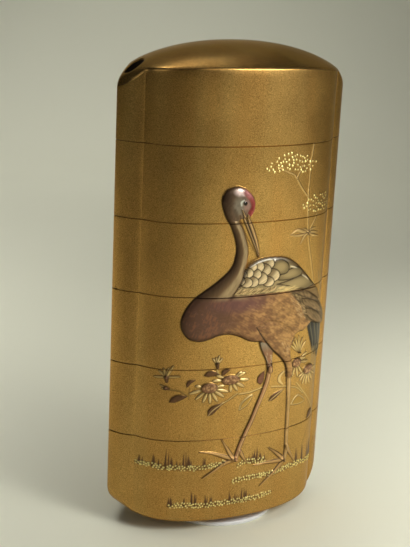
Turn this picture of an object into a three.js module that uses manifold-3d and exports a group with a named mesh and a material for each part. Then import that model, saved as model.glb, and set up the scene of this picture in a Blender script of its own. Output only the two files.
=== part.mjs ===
// A five-case lacquer inro with its lid, standing on a low round display disc.
// Millimetres, +Z up, the decorated front faces -Y. The origin is on the underside of the disc.

import * as THREE from 'three';
import { mergeVertices } from 'three/addons/utils/BufferGeometryUtils.js';
import Module from 'manifold-3d';

const wasm = await Module();
wasm.setup();

// ---- Driving dimensions -------------------------------------------------------------------

// Plan outline: two gently arched panels joined by a rounded cord strip on each side.
const HALF_WIDTH = 24;
const CREASE_X = 20.15;
const HALF_DEPTH = 11.95;
const ARC_DROP = 3.88;
const SHOULDER_DROP = 1.54;
const EDGE_DROP = 2.08;
const CREASE_DEPTH = HALF_DEPTH - ARC_DROP - SHOULDER_DROP - EDGE_DROP;
const STRIP_POWER = 1.4;
const PANEL_STEPS = 12;
const STRIP_STEPS = 4;

// Levels of the joints between the pieces, from the bottom case up to the lid.
const JOINTS = [20.3, 35.2, 49.9, 64.3, 78.8];

// Lid: an arched front edge, sloping shoulders and a shallow dome.
const LID_EDGE_Z = 93.3;
const LID_TIP_Z = 88.8;
const LID_CROWN_Z = 97.4;
const LID_ARCH_DROP = 0.93;

// Underside of the bottom case: the same profile, flatter, with a small flat to rest on.
const BASE_EDGE_Z = 2.6;
const BASE_TIP_Z = 7.6;
const BASE_CROWN_Z = 0.8;
const BASE_ARCH_RISE = 0.95;
const FOOT_Z = 0.9;

// Inside: each case carries a riser that slides into a recess in the piece above it.
const WALL = 1.1;
const RISER_CLEARANCE = 0.15;
const RISER_WALL = 0.95;
const RISER_HEIGHT = 4.5;
const RECESS_HEIGHT = 4.8;
const FLOOR = 1.3;
const LID_TOP_WALL = 1.6;
const BASE_FLOOR_Z = 4.4;
const RECESS_HALF_LENGTH = 18.1;
const CHAMBER_CORNER = 2.2;

// Cord channels: one vertical bore through every piece inside each side strip.
const BORE_X = 20.8;
const BORE_RADIUS = 1.8;
const BORE_SIDES = 12;

// Display disc.
const DISC_RADIUS = 12.8;
const DISC_CENTRE = new THREE.Vector2(0.9, 2.0);
const DISC_ROUNDING = 0.3;

// Relief: how far a figure is rooted below the panel's surface, and how high its outline stands
// as a share of its height. A fine stroke's outline dips just below the surface instead.
const ROOT = 0.55;
const FIGURE_EDGE = 0.4;
const FINE_EDGE = -0.15;

// ---- Outlines -----------------------------------------------------------------------------

/** Half depth of the arched panel at x. */
function panelDepth(x) {
  const u = Math.min(Math.abs(x) / CREASE_X, 1);
  return HALF_DEPTH - ARC_DROP * u ** 2 - SHOULDER_DROP * u ** 4 - EDGE_DROP * u ** 10;
}

/** How far x lies across the side strip: 0 at the crease, 1 at the outermost line. */
function stripShare(x) {
  return THREE.MathUtils.clamp((Math.abs(x) - CREASE_X) / (HALF_WIDTH - CREASE_X), 0, 1);
}

/** Half depth of the whole plan outline at x. */
function outlineDepth(x) {
  const strip = (1 - stripShare(x) ** STRIP_POWER) ** (1 / STRIP_POWER);
  return Math.abs(x) <= CREASE_X ? panelDepth(x) : CREASE_DEPTH * strip;
}

/** The x of each corner of the faceted panel, closer together towards the creases. */
const PANEL_CORNERS = Array.from(
  { length: PANEL_STEPS + 1 },
  (_, i) => -CREASE_X * Math.cos((Math.PI * i) / PANEL_STEPS),
);

/** Half depth of the faceted panel at x, between two of its corners. */
function facetDepth(x) {
  const next = PANEL_CORNERS.findIndex((corner) => corner > x);
  const [left, right] = next > 0 ? [PANEL_CORNERS[next - 1], PANEL_CORNERS[next]] : [x - 1, x];
  return THREE.MathUtils.mapLinear(x, left, right, panelDepth(left), panelDepth(right));
}

/** The plan outline, counterclockwise from the left end of the front panel. */
function caseOutline() {
  const front = PANEL_CORNERS.slice(0, -1);
  const half = front.map((x) => new THREE.Vector2(x, -panelDepth(x)));
  for (let i = 0; i < 2 * STRIP_STEPS; i++) {
    const turn = (Math.PI / 2) * (i / STRIP_STEPS - 1);
    const reach = Math.abs(Math.cos(turn)) ** (2 / STRIP_POWER);
    const across = Math.sign(turn) * Math.abs(Math.sin(turn)) ** (2 / STRIP_POWER);
    half.push(new THREE.Vector2(CREASE_X + (HALF_WIDTH - CREASE_X) * reach, CREASE_DEPTH * across));
  }
  return [...half, ...half.map((point) => point.clone().negate())];
}

/** A lens-shaped chamber that follows the panels at the given inset and ends in flat ends. */
function chamberOutline(inset, halfLength) {
  const shape = new THREE.Shape();
  const straight = halfLength - CHAMBER_CORNER;
  const steps = 6;
  const endDepth = panelDepth(halfLength) - inset;
  for (const side of [-1, 1]) {
    for (let i = 0; i <= steps; i++) {
      const x = side * straight * ((2 * i) / steps - 1) * -1;
      const y = side * (panelDepth(x) - inset);
      if (side === -1 && i === 0) shape.moveTo(x, y);
      else shape.lineTo(x, y);
    }
    const end = -side * halfLength;
    shape.quadraticCurveTo(end, side * endDepth, end, side * (endDepth - CHAMBER_CORNER));
    shape.lineTo(end, -side * (endDepth - CHAMBER_CORNER));
    shape.quadraticCurveTo(end, -side * endDepth, -side * straight, -side * (panelDepth(straight) - inset));
  }
  return shape.getPoints(2);
}

// ---- Solids -------------------------------------------------------------------------------

/** A manifold solid from any closed three.js geometry. */
function solid(geometry) {
  const bare = geometry.clone();
  bare.deleteAttribute('normal');
  bare.deleteAttribute('uv');
  const merged = mergeVertices(bare, 1e-5);
  const position = merged.attributes.position;
  const corner = (i) => new THREE.Vector3().fromBufferAttribute(position, i);
  const triangles = [];
  let volume = 0;
  for (let i = 0; i < merged.index.count; i += 3) {
    const [a, b, c] = [0, 1, 2].map((k) => merged.index.getX(i + k));
    if (a === b || b === c || c === a) continue;
    triangles.push([a, b, c]);
    volume += corner(a).dot(corner(b).cross(corner(c)));
  }
  if (volume < 0) triangles.forEach((triangle) => triangle.reverse());
  const mesh = new wasm.Mesh({
    numProp: 3,
    vertProperties: new Float32Array(position.array),
    triVerts: new Uint32Array(triangles.flat()),
  });
  return new wasm.Manifold(mesh);
}

/** The geometry of a manifold solid. */
function geometryOf(manifold) {
  const mesh = manifold.getMesh();
  const geometry = new THREE.BufferGeometry();
  geometry.setAttribute('position', new THREE.BufferAttribute(mesh.vertProperties, 3));
  geometry.setIndex(new THREE.BufferAttribute(mesh.triVerts, 1));
  geometry.computeVertexNormals();
  return geometry;
}

/** A straight-sided body with the given plan outline between two levels. */
function prism(points, fromZ, toZ) {
  const geometry = new THREE.ExtrudeGeometry(new THREE.Shape(points), {
    depth: toZ - fromZ,
    bevelEnabled: false,
  });
  return solid(geometry.translate(0, 0, fromZ));
}

/**
 * A body whose rings are scaled copies of one outline: a lathe of as many sides as the outline has
 * corners, with each corner moved onto the outline. The profile lists [scale, height(x, y)].
 */
function outlineLathe(outline, profile) {
  const circle = profile.map(([scale], level) => new THREE.Vector2(scale, level));
  const geometry = new THREE.LatheGeometry(circle, outline.length);
  const position = geometry.attributes.position;
  for (let k = 0; k < position.count; k++) {
    const corner = outline[Math.floor(k / profile.length) % outline.length];
    const [scale, height] = profile[k % profile.length];
    const x = corner.x * scale;
    const y = corner.y * scale;
    position.setXYZ(k, x, y, height(x, y));
  }
  return solid(geometry);
}

/** The two cord bores between two levels. */
function bores(fromZ, toZ) {
  const cylinder = new THREE.CylinderGeometry(BORE_RADIUS, BORE_RADIUS, toZ - fromZ, BORE_SIDES);
  cylinder.rotateX(Math.PI / 2).translate(0, 0, (fromZ + toZ) / 2);
  return [-BORE_X, BORE_X].map((x) => solid(cylinder.clone().translate(x, 0, 0)));
}

// ---- Lid and underside --------------------------------------------------------------------

/** Share of the width, softened so that the shoulders round over into the dome. */
function shoulderCurve(x, power, softness) {
  return (1 - Math.min(Math.abs(x) / HALF_WIDTH, 1) ** power) ** softness;
}

/** Height of the lid's outer surface at (x, y). */
function lidTop(x, y) {
  const u = Math.min(Math.abs(x) / CREASE_X, 1);
  const creaseZ = LID_EDGE_Z - LID_ARCH_DROP;
  const edge = LID_EDGE_Z - LID_ARCH_DROP * u ** 3 - (creaseZ - LID_TIP_Z) * stripShare(x);
  const ridge = LID_TIP_Z + (LID_CROWN_Z - LID_TIP_Z) * shoulderCurve(x, 2.1, 0.58);
  const v = Math.abs(y) / Math.max(outlineDepth(x), 1e-6);
  return edge + Math.max(ridge - edge, 0) * (1 - Math.min(v, 1) ** 2);
}

/** Height of the bottom case's underside at (x, y), with its small flat at FOOT_Z. */
function underside(x, y) {
  const u = Math.min(Math.abs(x) / CREASE_X, 1);
  const creaseZ = BASE_EDGE_Z + BASE_ARCH_RISE;
  const edge = BASE_EDGE_Z + BASE_ARCH_RISE * u ** 3 + (BASE_TIP_Z - creaseZ) * stripShare(x);
  const keel = BASE_TIP_Z - (BASE_TIP_Z - BASE_CROWN_Z) * shoulderCurve(x, 3, 0.5);
  const v = Math.abs(y) / Math.max(outlineDepth(x), 1e-6);
  return Math.max(FOOT_Z, edge - Math.max(edge - keel, 0) * (1 - Math.min(v, 1) ** 2));
}

const level = (z) => () => z;
const OUTLINE = caseOutline();
const RECESS = chamberOutline(WALL, RECESS_HALF_LENGTH);
const RISER_INSET = WALL + RISER_CLEARANCE;
const RISER = chamberOutline(RISER_INSET, RECESS_HALF_LENGTH - RISER_CLEARANCE);
const CHAMBER = chamberOutline(RISER_INSET + RISER_WALL, RECESS_HALF_LENGTH - RISER_CLEARANCE - RISER_WALL);
const DOME_RINGS = [0.93, 0.76, 0.42];

/** The lid: a domed shell, open below over the riser of the first case. */
function lid() {
  const rimZ = JOINTS.at(-1);
  const dome = [...DOME_RINGS, 0].map((scale) => [scale, lidTop]);
  const outer = outlineLathe(OUTLINE, [[0, level(rimZ)], [1, level(rimZ)], [1, lidTop], ...dome]);
  const ceiling = (x, y) => lidTop(x, y) - LID_TOP_WALL;
  const hollow = outlineLathe(RECESS, [
    [0, level(rimZ - 1)],
    [1, level(rimZ - 1)],
    ...[1, 0.8, 0.45, 0].map((scale) => [scale, ceiling]),
  ]);
  return [hollow, ...bores(rimZ - 1, LID_CROWN_Z)].reduce((body, cut) => body.subtract(cut), outer);
}

/** A middle case between two joints: floor, chamber, riser above and recess below. */
function middleCase(bottomZ, topZ) {
  const shell = prism(OUTLINE, bottomZ, topZ).add(prism(RISER, topZ - 1, topZ + RISER_HEIGHT));
  const cuts = [
    prism(RECESS, bottomZ - 1, bottomZ + RECESS_HEIGHT),
    prism(CHAMBER, bottomZ + RECESS_HEIGHT + FLOOR, topZ + RISER_HEIGHT + 1),
    ...bores(bottomZ - 1, topZ + 1),
  ];
  return cuts.reduce((body, cut) => body.subtract(cut), shell);
}

/** The bottom case: a chamber over a shallow domed underside. */
function bottomCase() {
  const rimZ = JOINTS[0];
  const keel = [0, ...DOME_RINGS.toReversed(), 1].map((scale) => [scale, underside]);
  const outer = outlineLathe(OUTLINE, [...keel, [1, level(rimZ)], [0, level(rimZ)]]);
  const shell = outer.add(prism(RISER, rimZ - 1, rimZ + RISER_HEIGHT));
  const cuts = [prism(CHAMBER, BASE_FLOOR_Z, rimZ + RISER_HEIGHT + 1), ...bores(-1, rimZ + 1)];
  return cuts.reduce((body, cut) => body.subtract(cut), shell);
}

/** The low disc that the domed underside rests on. */
function displayDisc() {
  const edge = DISC_RADIUS - DISC_ROUNDING;
  const profile = [
    new THREE.Vector2(0, 0),
    new THREE.Vector2(edge, 0),
    new THREE.Vector2(DISC_RADIUS, DISC_ROUNDING),
    new THREE.Vector2(DISC_RADIUS, FOOT_Z - DISC_ROUNDING),
    new THREE.Vector2(edge, FOOT_Z),
    new THREE.Vector2(0, FOOT_Z),
  ];
  const disc = new THREE.LatheGeometry(profile, 36).rotateX(Math.PI / 2);
  return solid(disc.translate(DISC_CENTRE.x, DISC_CENTRE.y, 0));
}

// ---- Relief -------------------------------------------------------------------------------
// Figures are drawn on a panel in (x, z) and raised by a height above its surface. On the back
// panel the drawing is turned round, so that it reads the same way to someone facing that side.

/** A point of a figure: (x, z) on the panel, raised by h, on the front (1) or the back (-1). */
function onPanel(x, z, h, face) {
  return [x * face, -(facetDepth(x) + h) * face, z];
}

/** Linear interpolation in a list of values spread evenly over 0..1. */
function along(values, share) {
  const place = share * (values.length - 1);
  const i = Math.min(Math.floor(place), values.length - 2);
  return THREE.MathUtils.lerp(values[i], values[i + 1], place - i);
}

/**
 * A raised stroke that follows a spline through [x, z] points, with a half width at each point.
 * It is a box with the given divisions, bent along the spline and rounded across.
 */
function stroke(points, halfWidths, height, { steps = 5, across = 2, edge = FINE_EDGE, face = 1 } = {}) {
  const spine = new THREE.SplineCurve(points.map(([x, z]) => new THREE.Vector2(x, z)));
  const geometry = new THREE.BoxGeometry(1, 2, 1, steps, across, 1);
  const position = geometry.attributes.position;
  for (let k = 0; k < position.count; k++) {
    const share = THREE.MathUtils.clamp(position.getX(k) + 0.5, 0, 1);
    const side = position.getY(k);
    const centre = spine.getPoint(share);
    const heading = spine.getTangent(share);
    const half = along(halfWidths, share);
    const x = centre.x - heading.y * side * half;
    const z = centre.y + heading.x * side * half;
    const rise = height * (edge + (1 - edge) * (1 - side ** 2));
    position.setXYZ(k, ...onPanel(x, z, position.getZ(k) > 0 ? rise : -ROOT, face));
  }
  return solid(geometry);
}

/** A raised oval boss, such as a flower's eye. */
function boss(x, z, radiusX, radiusZ, height, { sides = 8, rings = 4, face = 1 } = {}) {
  const geometry = new THREE.SphereGeometry(1, sides, rings).rotateX(Math.PI / 2);
  const position = geometry.attributes.position;
  for (let k = 0; k < position.count; k++) {
    const px = x + position.getX(k) * radiusX;
    const pz = z + position.getY(k) * radiusZ;
    const rise = position.getZ(k) > 0 ? position.getZ(k) * height : position.getZ(k) * ROOT;
    position.setXYZ(k, ...onPanel(px, pz, rise, face));
  }
  return solid(geometry);
}

/** A pointed leaf or petal of the given length from (x, z), at an angle in degrees. */
function blade(x, z, degrees, length, halfWidth, height, options = {}) {
  const angle = THREE.MathUtils.degToRad(degrees);
  const reach = (share) => [x + Math.cos(angle) * length * share, z + Math.sin(angle) * length * share];
  const widths = [0.4, 1, 0.12].map((share) => share * halfWidth);
  return stroke([0, 0.55, 1].map(reach), widths, height, { steps: 2, ...options });
}

/** An aster seen from the front: an eye with petals fanned between two angles. */
function aster(x, z, size, fromDegrees, toDegrees, petals, face = 1) {
  const parts = [boss(x, z, size * 0.36, size * 0.24, 0.55, { face })];
  for (let i = 0; i < petals; i++) {
    const degrees = THREE.MathUtils.lerp(fromDegrees, toDegrees, i / (petals - 1));
    parts.push(blade(x, z, degrees, size * (0.9 + 0.1 * (i % 2)), size * 0.13, 0.35, { face }));
  }
  return parts;
}

/** The crane: body, S-curved neck, round head and long bill. */
function craneBody() {
  const body = [[-13.3, 43.6], [-9.5, 45.1], [-4, 46], [1, 45.4], [6, 45], [11, 45.3], [14.5, 44.8]];
  const neck = [[-4.4, 66], [-3, 61.8], [-2.2, 58.6], [-2.2, 55.6], [-3.5, 52.2], [-6.2, 49.2], [-8.6, 46.4]];
  const upperBill = [[-2, 67.4], [-0.7, 63.2], [0.3, 60.2], [1.1, 57.6]];
  const lowerBill = [[-3.2, 66], [-1.8, 62.4], [-0.6, 59.9], [0.8, 57.9]];
  return [
    stroke(body, [1, 3.9, 3.4, 4.1, 4, 3.2, 1.6], 0.85, { steps: 9, across: 4, edge: FIGURE_EDGE }),
    stroke(neck, [2, 1.5, 1.3, 1.35, 1.8, 2.6, 2.8], 0.75, { steps: 8, edge: FIGURE_EDGE }),
    boss(-3.7, 67.9, 3.1, 3.5, 0.9, { sides: 12 }),
    stroke(upperBill, [0.8, 0.65, 0.4, 0.15], 0.6, { steps: 3 }),
    stroke(lowerBill, [0.7, 0.5, 0.3, 0.15], 0.45, { steps: 3 }),
  ];
}

/** Folded wing: a mass of coverts with long feathers sweeping back over the rump. */
function craneWing() {
  const coverts = [[-3.2, 50.4], [0, 51.9], [3.6, 52.9], [6.6, 52.6]];
  const parts = [stroke(coverts, [1.2, 3.2, 4.3, 3.2], 1.0, { across: 4, edge: FIGURE_EDGE })];
  for (let i = 0; i < 4; i++) {
    const feather = [
      [4.6 + 0.3 * i, 55.6 - 1.9 * i],
      [9.4 + 0.1 * i, 53.2 - 1.7 * i],
      [13.6 - 0.5 * i, 49.8 - 1.3 * i],
      [17.4 - 1.1 * i, 45.6 - 0.9 * i],
    ];
    parts.push(stroke(feather, [1, 1.3, 1.1, 0.3], 0.95 - 0.08 * i, { edge: FIGURE_EDGE }));
  }
  return parts;
}

/** Drooping tail plumes behind the rump. */
function craneTail() {
  const plumes = [
    [[13.4, 46.2], [16.6, 43.4], [18.6, 39.6], [19.2, 35.6]],
    [[13.6, 44.6], [16.6, 40.8], [18, 36.4], [18.4, 31.4]],
    [[12.8, 43.8], [14.8, 40], [16, 35.8], [16.4, 31]],
    [[11.6, 43.2], [12.9, 40], [13.8, 36.8], [14.3, 33]],
  ];
  return plumes.map((plume, i) => stroke(plume, [1.2, 1.15, 0.95, 0.25], 0.7 - 0.06 * i, { steps: 4 }));
}

/** A standing leg: feathered thigh, hock, shank and spread toes. */
function craneLeg(thigh, thighWidths, shank, toeTips) {
  const [hockX, hockZ] = shank[0];
  const [footX, footZ] = shank.at(-1);
  const toes = toeTips.map(([x, z]) => {
    const middle = [(x + footX) / 2, (z + footZ) / 2 + 0.25];
    return stroke([[footX, footZ], middle, [x, z]], [0.36, 0.3, 0.14], 0.35, { steps: 2 });
  });
  return [
    stroke(thigh, thighWidths, 0.7, { steps: 4 }),
    stroke(shank, [0.42, 0.36, 0.36, 0.4], 0.45),
    boss(hockX, hockZ, 0.6, 0.75, 0.55, { sides: 6 }),
    ...toes,
  ];
}

/** The crane's two legs. */
function craneLegs() {
  const near = craneLeg(
    [[6.2, 42.4], [7.6, 39.8], [9, 37.6], [9.5, 34.6]],
    [3.8, 3, 1.3, 0.55],
    [[9.6, 34.2], [10.4, 28], [11, 20.4], [10.3, 13.8]],
    [[3.2, 13.6], [6.5, 16.9], [5.2, 8.8], [13, 12.4]],
  );
  const far = craneLeg(
    [[3, 42.4], [3.9, 38.6], [5, 34.6]],
    [2.2, 1.3, 0.5],
    [[5.2, 34.2], [3.7, 28.8], [1.8, 23.2], [-1.3, 15.7]],
    [[-8.8, 17.6], [-4.8, 20.2], [-7.9, 12.5], [1.1, 14.3]],
  );
  return [...near, ...far];
}

/** Asters, buds, stems and leaves around the crane's legs. */
function asterSprays() {
  const stems = [
    [[4.2, 33.4], [3.9, 30.4], [-0.8, 29.6], [-3.8, 28.5], [-6.4, 26.9]],
    [[6, 30.2], [9, 29.9], [11.7, 28.9], [14.2, 26.6], [17, 22.8]],
    [[-16.4, 34.4], [-15.6, 32], [-14.4, 30]],
    [[-6.3, 36.6], [-6, 34.4], [-6.8, 32]],
    [[12.4, 37.6], [12.3, 35.6], [12.8, 33.6]],
  ];
  const leaves = [
    [-13.2, 32.4, -128, 4, 1], [-13.8, 33, -12, 3, 0.8], [-8.6, 34.6, 8, 3.6, 1],
    [-5.6, 28, -135, 3.6, 0.9], [2.6, 35, -80, 4.4, 1.1], [8.4, 30.4, -140, 4, 1],
    [-2.2, 28.8, 20, 4.6, 0.8], [6.6, 32.8, -15, 4, 0.9], [11.8, 27.6, -40, 4, 0.9],
    [15.2, 23.8, -40, 4, 1.1],
  ];
  const buds = [[-16.8, 32.1], [-6.3, 37], [12.5, 38.2]];
  return [
    ...stems.map((stem) => stroke(stem, [0.24, 0.24, 0.24], 0.28, { steps: 4 })),
    ...leaves.map(([x, z, degrees, length, half]) => blade(x, z, degrees, length, half, 0.35)),
    ...buds.map(([x, z]) => boss(x, z, 0.8, 1.1, 0.45, { sides: 6 })),
    ...aster(-7.4, 31.3, 4.6, -200, 20, 8),
    ...aster(-3.4, 33.2, 4.4, -110, 60, 6),
    ...aster(-16.2, 35.2, 3.2, 20, 160, 5),
    ...aster(12.6, 34.2, 3.8, -120, 110, 6),
    ...aster(15.9, 32, 3.2, -100, 70, 5),
  ];
}

/** Patrinia: a tall stem with forked twigs, clusters of tiny flowers and a whorl of leaves. */
function patrinia({ face = 1, shiftX = 0, flowersEach = 6 } = {}) {
  const place = ([x, z]) => [x + shiftX, z];
  const twigs = [
    [[13, 78.4], [11.9, 75.6], [12, 68.8], [12.7, 61.8], [13.9, 55.6], [15.6, 50]],
    [[12.1, 69.4], [9.4, 72.4], [5.2, 74.2]],
    [[12, 72], [9.8, 74.6], [8.2, 76.6]],
    [[12.1, 66], [14.2, 67.2], [16.4, 67.4]],
  ];
  const whorl = [[184, 4.6], [222, 3.6], [-14, 3.4], [-50, 3], [60, 2.6]];
  const clusters = [[5.6, 74.9, 2.8], [10.4, 75.4, 2.4], [14.4, 67.4, 2.6]];
  const flowers = clusters.flatMap(([x, z, spread]) =>
    Array.from({ length: flowersEach }, (_, i) => {
      const turn = (2 * Math.PI * i) / flowersEach;
      const at = place([x + spread * Math.cos(turn), z + spread * 0.55 * Math.sin(turn)]);
      return boss(...at, 0.45, 0.45, 0.45, { sides: 5, rings: 2, face });
    }),
  );
  return [
    ...twigs.map((twig) => stroke(twig.map(place), [0.24, 0.22, 0.22], 0.28, { steps: 4, face })),
    ...whorl.map(([degrees, length]) => blade(12.8 + shiftX, 61.4, degrees, length, 0.75, 0.32, { face })),
    ...flowers,
  ];
}

/** All the figures as one solid: the front scene, and a plainer spray of patrinia behind. */
function reliefSolid() {
  return wasm.Manifold.union([
    ...craneBody(),
    ...craneWing(),
    ...craneTail(),
    ...craneLegs(),
    ...asterSprays(),
    ...patrinia(),
    ...patrinia({ face: -1, shiftX: -14, flowersEach: 4 }),
  ]);
}

/** The part of the relief that belongs to one case. */
function reliefBetween(relief, bottomZ, topZ) {
  const slab = new THREE.BoxGeometry(3 * HALF_WIDTH, 3 * HALF_DEPTH, topZ - bottomZ);
  return relief.intersect(solid(slab.translate(0, 0, (topZ + bottomZ) / 2)));
}

// ---- Assembly -----------------------------------------------------------------------------

const GOLD_LACQUER = { color: 0x94702f, roughness: 0.4, metalness: 0.85 };
const WHITE_DISC = { color: 0xe8e8e2, roughness: 0.6, metalness: 0 };

/** A named mesh of one manifold solid. */
function piece(name, manifold, look) {
  const mesh = new THREE.Mesh(geometryOf(manifold), new THREE.MeshStandardMaterial(look));
  mesh.name = name;
  return mesh;
}

const inro = new THREE.Group();
const relief = reliefSolid();
const lastJoint = JOINTS.length - 1;

inro.add(piece('display_disc', displayDisc(), WHITE_DISC));
inro.add(piece('bottom_case', bottomCase().add(reliefBetween(relief, FOOT_Z, JOINTS[0])), GOLD_LACQUER));
for (let i = 0; i < lastJoint; i++) {
  const [bottomZ, topZ] = [JOINTS[i], JOINTS[i + 1]];
  const body = middleCase(bottomZ, topZ).add(reliefBetween(relief, bottomZ, topZ));
  inro.add(piece(`case_${lastJoint - i}`, body, GOLD_LACQUER));
}
inro.add(piece('lid', lid(), GOLD_LACQUER));

export default inro;
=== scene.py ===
"""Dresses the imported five-case inro: fine closed shells with the crane and autumn flowers in low
relief on the front, a patrinia spray on the back, gold lacquer materials, backdrop, light, camera.

The object's sizes are millimetres and become metres where a mesh is made. The backdrop, the lamps
and the camera are placed in metres."""

import math

import bpy
import numpy as np
from mathutils import Matrix, Vector
from mathutils.geometry import delaunay_2d_cdt


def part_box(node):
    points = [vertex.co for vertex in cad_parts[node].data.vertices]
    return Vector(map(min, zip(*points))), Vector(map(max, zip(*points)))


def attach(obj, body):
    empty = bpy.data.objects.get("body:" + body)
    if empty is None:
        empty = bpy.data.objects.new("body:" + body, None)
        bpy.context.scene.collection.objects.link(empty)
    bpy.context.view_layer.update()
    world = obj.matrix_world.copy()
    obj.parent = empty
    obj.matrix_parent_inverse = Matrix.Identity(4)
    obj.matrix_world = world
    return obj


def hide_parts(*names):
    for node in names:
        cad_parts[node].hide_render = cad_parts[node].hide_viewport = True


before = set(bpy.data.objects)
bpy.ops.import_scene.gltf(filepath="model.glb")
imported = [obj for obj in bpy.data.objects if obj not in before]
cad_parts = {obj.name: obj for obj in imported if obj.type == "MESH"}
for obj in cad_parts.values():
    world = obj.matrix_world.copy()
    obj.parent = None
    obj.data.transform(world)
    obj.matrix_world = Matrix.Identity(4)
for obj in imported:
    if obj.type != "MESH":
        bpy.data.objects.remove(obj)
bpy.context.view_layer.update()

MM = 0.001

# ---- Sizes shared with the CAD model --------------------------------------------------------

HALF_WIDTH = 24.0
CREASE_X = 20.15
HALF_DEPTH = 11.95
ARC_DROP = 3.88
SHOULDER_DROP = 1.54
EDGE_DROP = 2.08
CREASE_DEPTH = HALF_DEPTH - ARC_DROP - SHOULDER_DROP - EDGE_DROP
STRIP_POWER = 1.4
JOINTS = [20.3, 35.2, 49.9, 64.3, 78.8]
LID_EDGE_Z = 93.3
LID_TIP_Z = 88.8
LID_CROWN_Z = 97.4
LID_ARCH_DROP = 0.93
LID_SHOULDER = (2.1, 0.58)  # power and softness of the ridge line
BASE_EDGE_Z = 2.6
BASE_TIP_Z = 7.6
BASE_CROWN_Z = 0.8
BASE_ARCH_RISE = 0.95
BASE_SHOULDER = (3, 0.5)
FOOT_Z = 0.9
WALL = 1.1
RISER_CLEARANCE = 0.15
RISER_WALL = 0.95
RISER_HEIGHT = 4.5
RECESS_HEIGHT = 4.8
FLOOR = 1.3
LID_TOP_WALL = 1.6
BASE_FLOOR_Z = 4.4
RECESS_HALF_LENGTH = 18.1
CHAMBER_CORNER = 2.2
BORE_X = 20.8
BORE_RADIUS = 1.8

# ---- Finer sizes that only the render needs --------------------------------------------------

RIM_BEVEL = 0.12        # chamfer on each rim: two of them make the dark line of a joint
RISER_BEVEL = 0.15
EDGE_ROUNDING = 0.45    # soft edge between a wall and the dome of the lid or of the underside
BORE_ROUNDING = 0.3
DISC_ROUNDING = 0.3
FINE_STEP = 0.13        # grid of the decorated front panels
BACK_STEP = 0.3
PLAIN_STEP = 0.35       # grid along the lid's panels
DOME_STEP = 0.5
CEILING_STEP = 1.0
LID_ROWS = 12
STRIP_STEPS = 14
CHAMBER_STEPS = 36
BORE_SIDES = 40
DISC_SIDES = 160
DISC_ROWS = 9
SOFT_ROWS = np.array([0.08, 0.2, 0.34, 0.5, 0.7, 1.0])  # shares of a dome's rounding
ROW_KEPT = 0.9          # a soft row's points nearer the edge than this share are left out
GRID_GAP = 0.2          # from a dome's soft rows to its even grid
POINT_GAP = 0.02        # from a dome's points to the rings round it
FIGURE_FADE = 0.3       # relief runs out over this distance at the creases

# ---- Plan outline ----------------------------------------------------------------------------


def panel_depth(x):
    u = np.minimum(np.abs(x) / CREASE_X, 1)
    return HALF_DEPTH - ARC_DROP * u**2 - SHOULDER_DROP * u**4 - EDGE_DROP * u**10


def panel_slope(x):
    u = np.minimum(np.abs(x) / CREASE_X, 1)
    fall = 2 * ARC_DROP * u + 4 * SHOULDER_DROP * u**3 + 10 * EDGE_DROP * u**9
    return -np.sign(x) * fall / CREASE_X


def strip_share(x):
    return np.clip((np.abs(x) - CREASE_X) / (HALF_WIDTH - CREASE_X), 0, 1)


def outline_depth(x):
    strip = CREASE_DEPTH * (1 - strip_share(x) ** STRIP_POWER) ** (1 / STRIP_POWER)
    return np.where(np.abs(x) <= CREASE_X, panel_depth(x), strip)


def spaced(start, stop, step):
    """Evenly spaced values from start to stop, at most step apart, both ends included."""
    return np.linspace(start, stop, max(2, math.ceil((stop - start) / step) + 1))


def strip_columns():
    """Points and outward normals across the right strip, without its two creases."""
    turn = np.linspace(-math.pi / 2, math.pi / 2, 2 * STRIP_STEPS + 1)[1:-1]
    reach = np.cos(turn) ** (2 / STRIP_POWER)
    across = np.sign(turn) * np.abs(np.sin(turn)) ** (2 / STRIP_POWER)
    width = HALF_WIDTH - CREASE_X
    normal = np.c_[
        reach ** (STRIP_POWER - 1) / width,
        np.sign(across) * np.abs(across) ** (STRIP_POWER - 1) / CREASE_DEPTH,
    ]
    normal /= np.linalg.norm(normal, axis=1)[:, None]
    return np.c_[CREASE_X + width * reach, CREASE_DEPTH * across], normal


class Plan:
    """The plan outline, counterclockwise: front panel, right strip, back panel, left strip."""

    def __init__(self, front_x, back_x):
        strip, strip_normal = strip_columns()
        front = np.c_[front_x, -panel_depth(front_x)]
        back = np.c_[back_x[::-1], panel_depth(back_x[::-1])]
        self.points = np.vstack([front, strip, back, -strip])
        normals = [
            np.c_[-panel_slope(front_x), -np.ones(len(front_x))],
            strip_normal,
            np.c_[-panel_slope(back_x[::-1]), np.ones(len(back_x))],
            -strip_normal,
        ]
        self.normals = np.vstack([n / np.linalg.norm(n, axis=1)[:, None] for n in normals])
        counts = [len(front), len(strip), len(back), len(strip)]
        self.zone = np.repeat([0, 1, 2, 3], counts)
        # A wall face has the zone of its left column, and a panel's last column starts a strip.
        self.zone[counts[0] - 1] = 1
        self.zone[counts[0] + counts[1] + counts[2] - 1] = 3
        self.front = slice(0, counts[0])
        first = counts[0] + counts[1]
        self.back = slice(first, first + counts[2])


FINE_PANEL = spaced(-CREASE_X, CREASE_X, FINE_STEP)
PLAIN_PANEL = spaced(-CREASE_X, CREASE_X, PLAIN_STEP)
BACK_PANEL = spaced(-CREASE_X, CREASE_X, BACK_STEP)


def bezier(start, control, end, steps=6):
    """A quadratic curve's points, without its start."""
    t = np.linspace(0, 1, steps + 1)[1:, None]
    start, control, end = map(np.array, (start, control, end))
    return (1 - t) ** 2 * start + 2 * t * (1 - t) * control + t**2 * end


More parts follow.
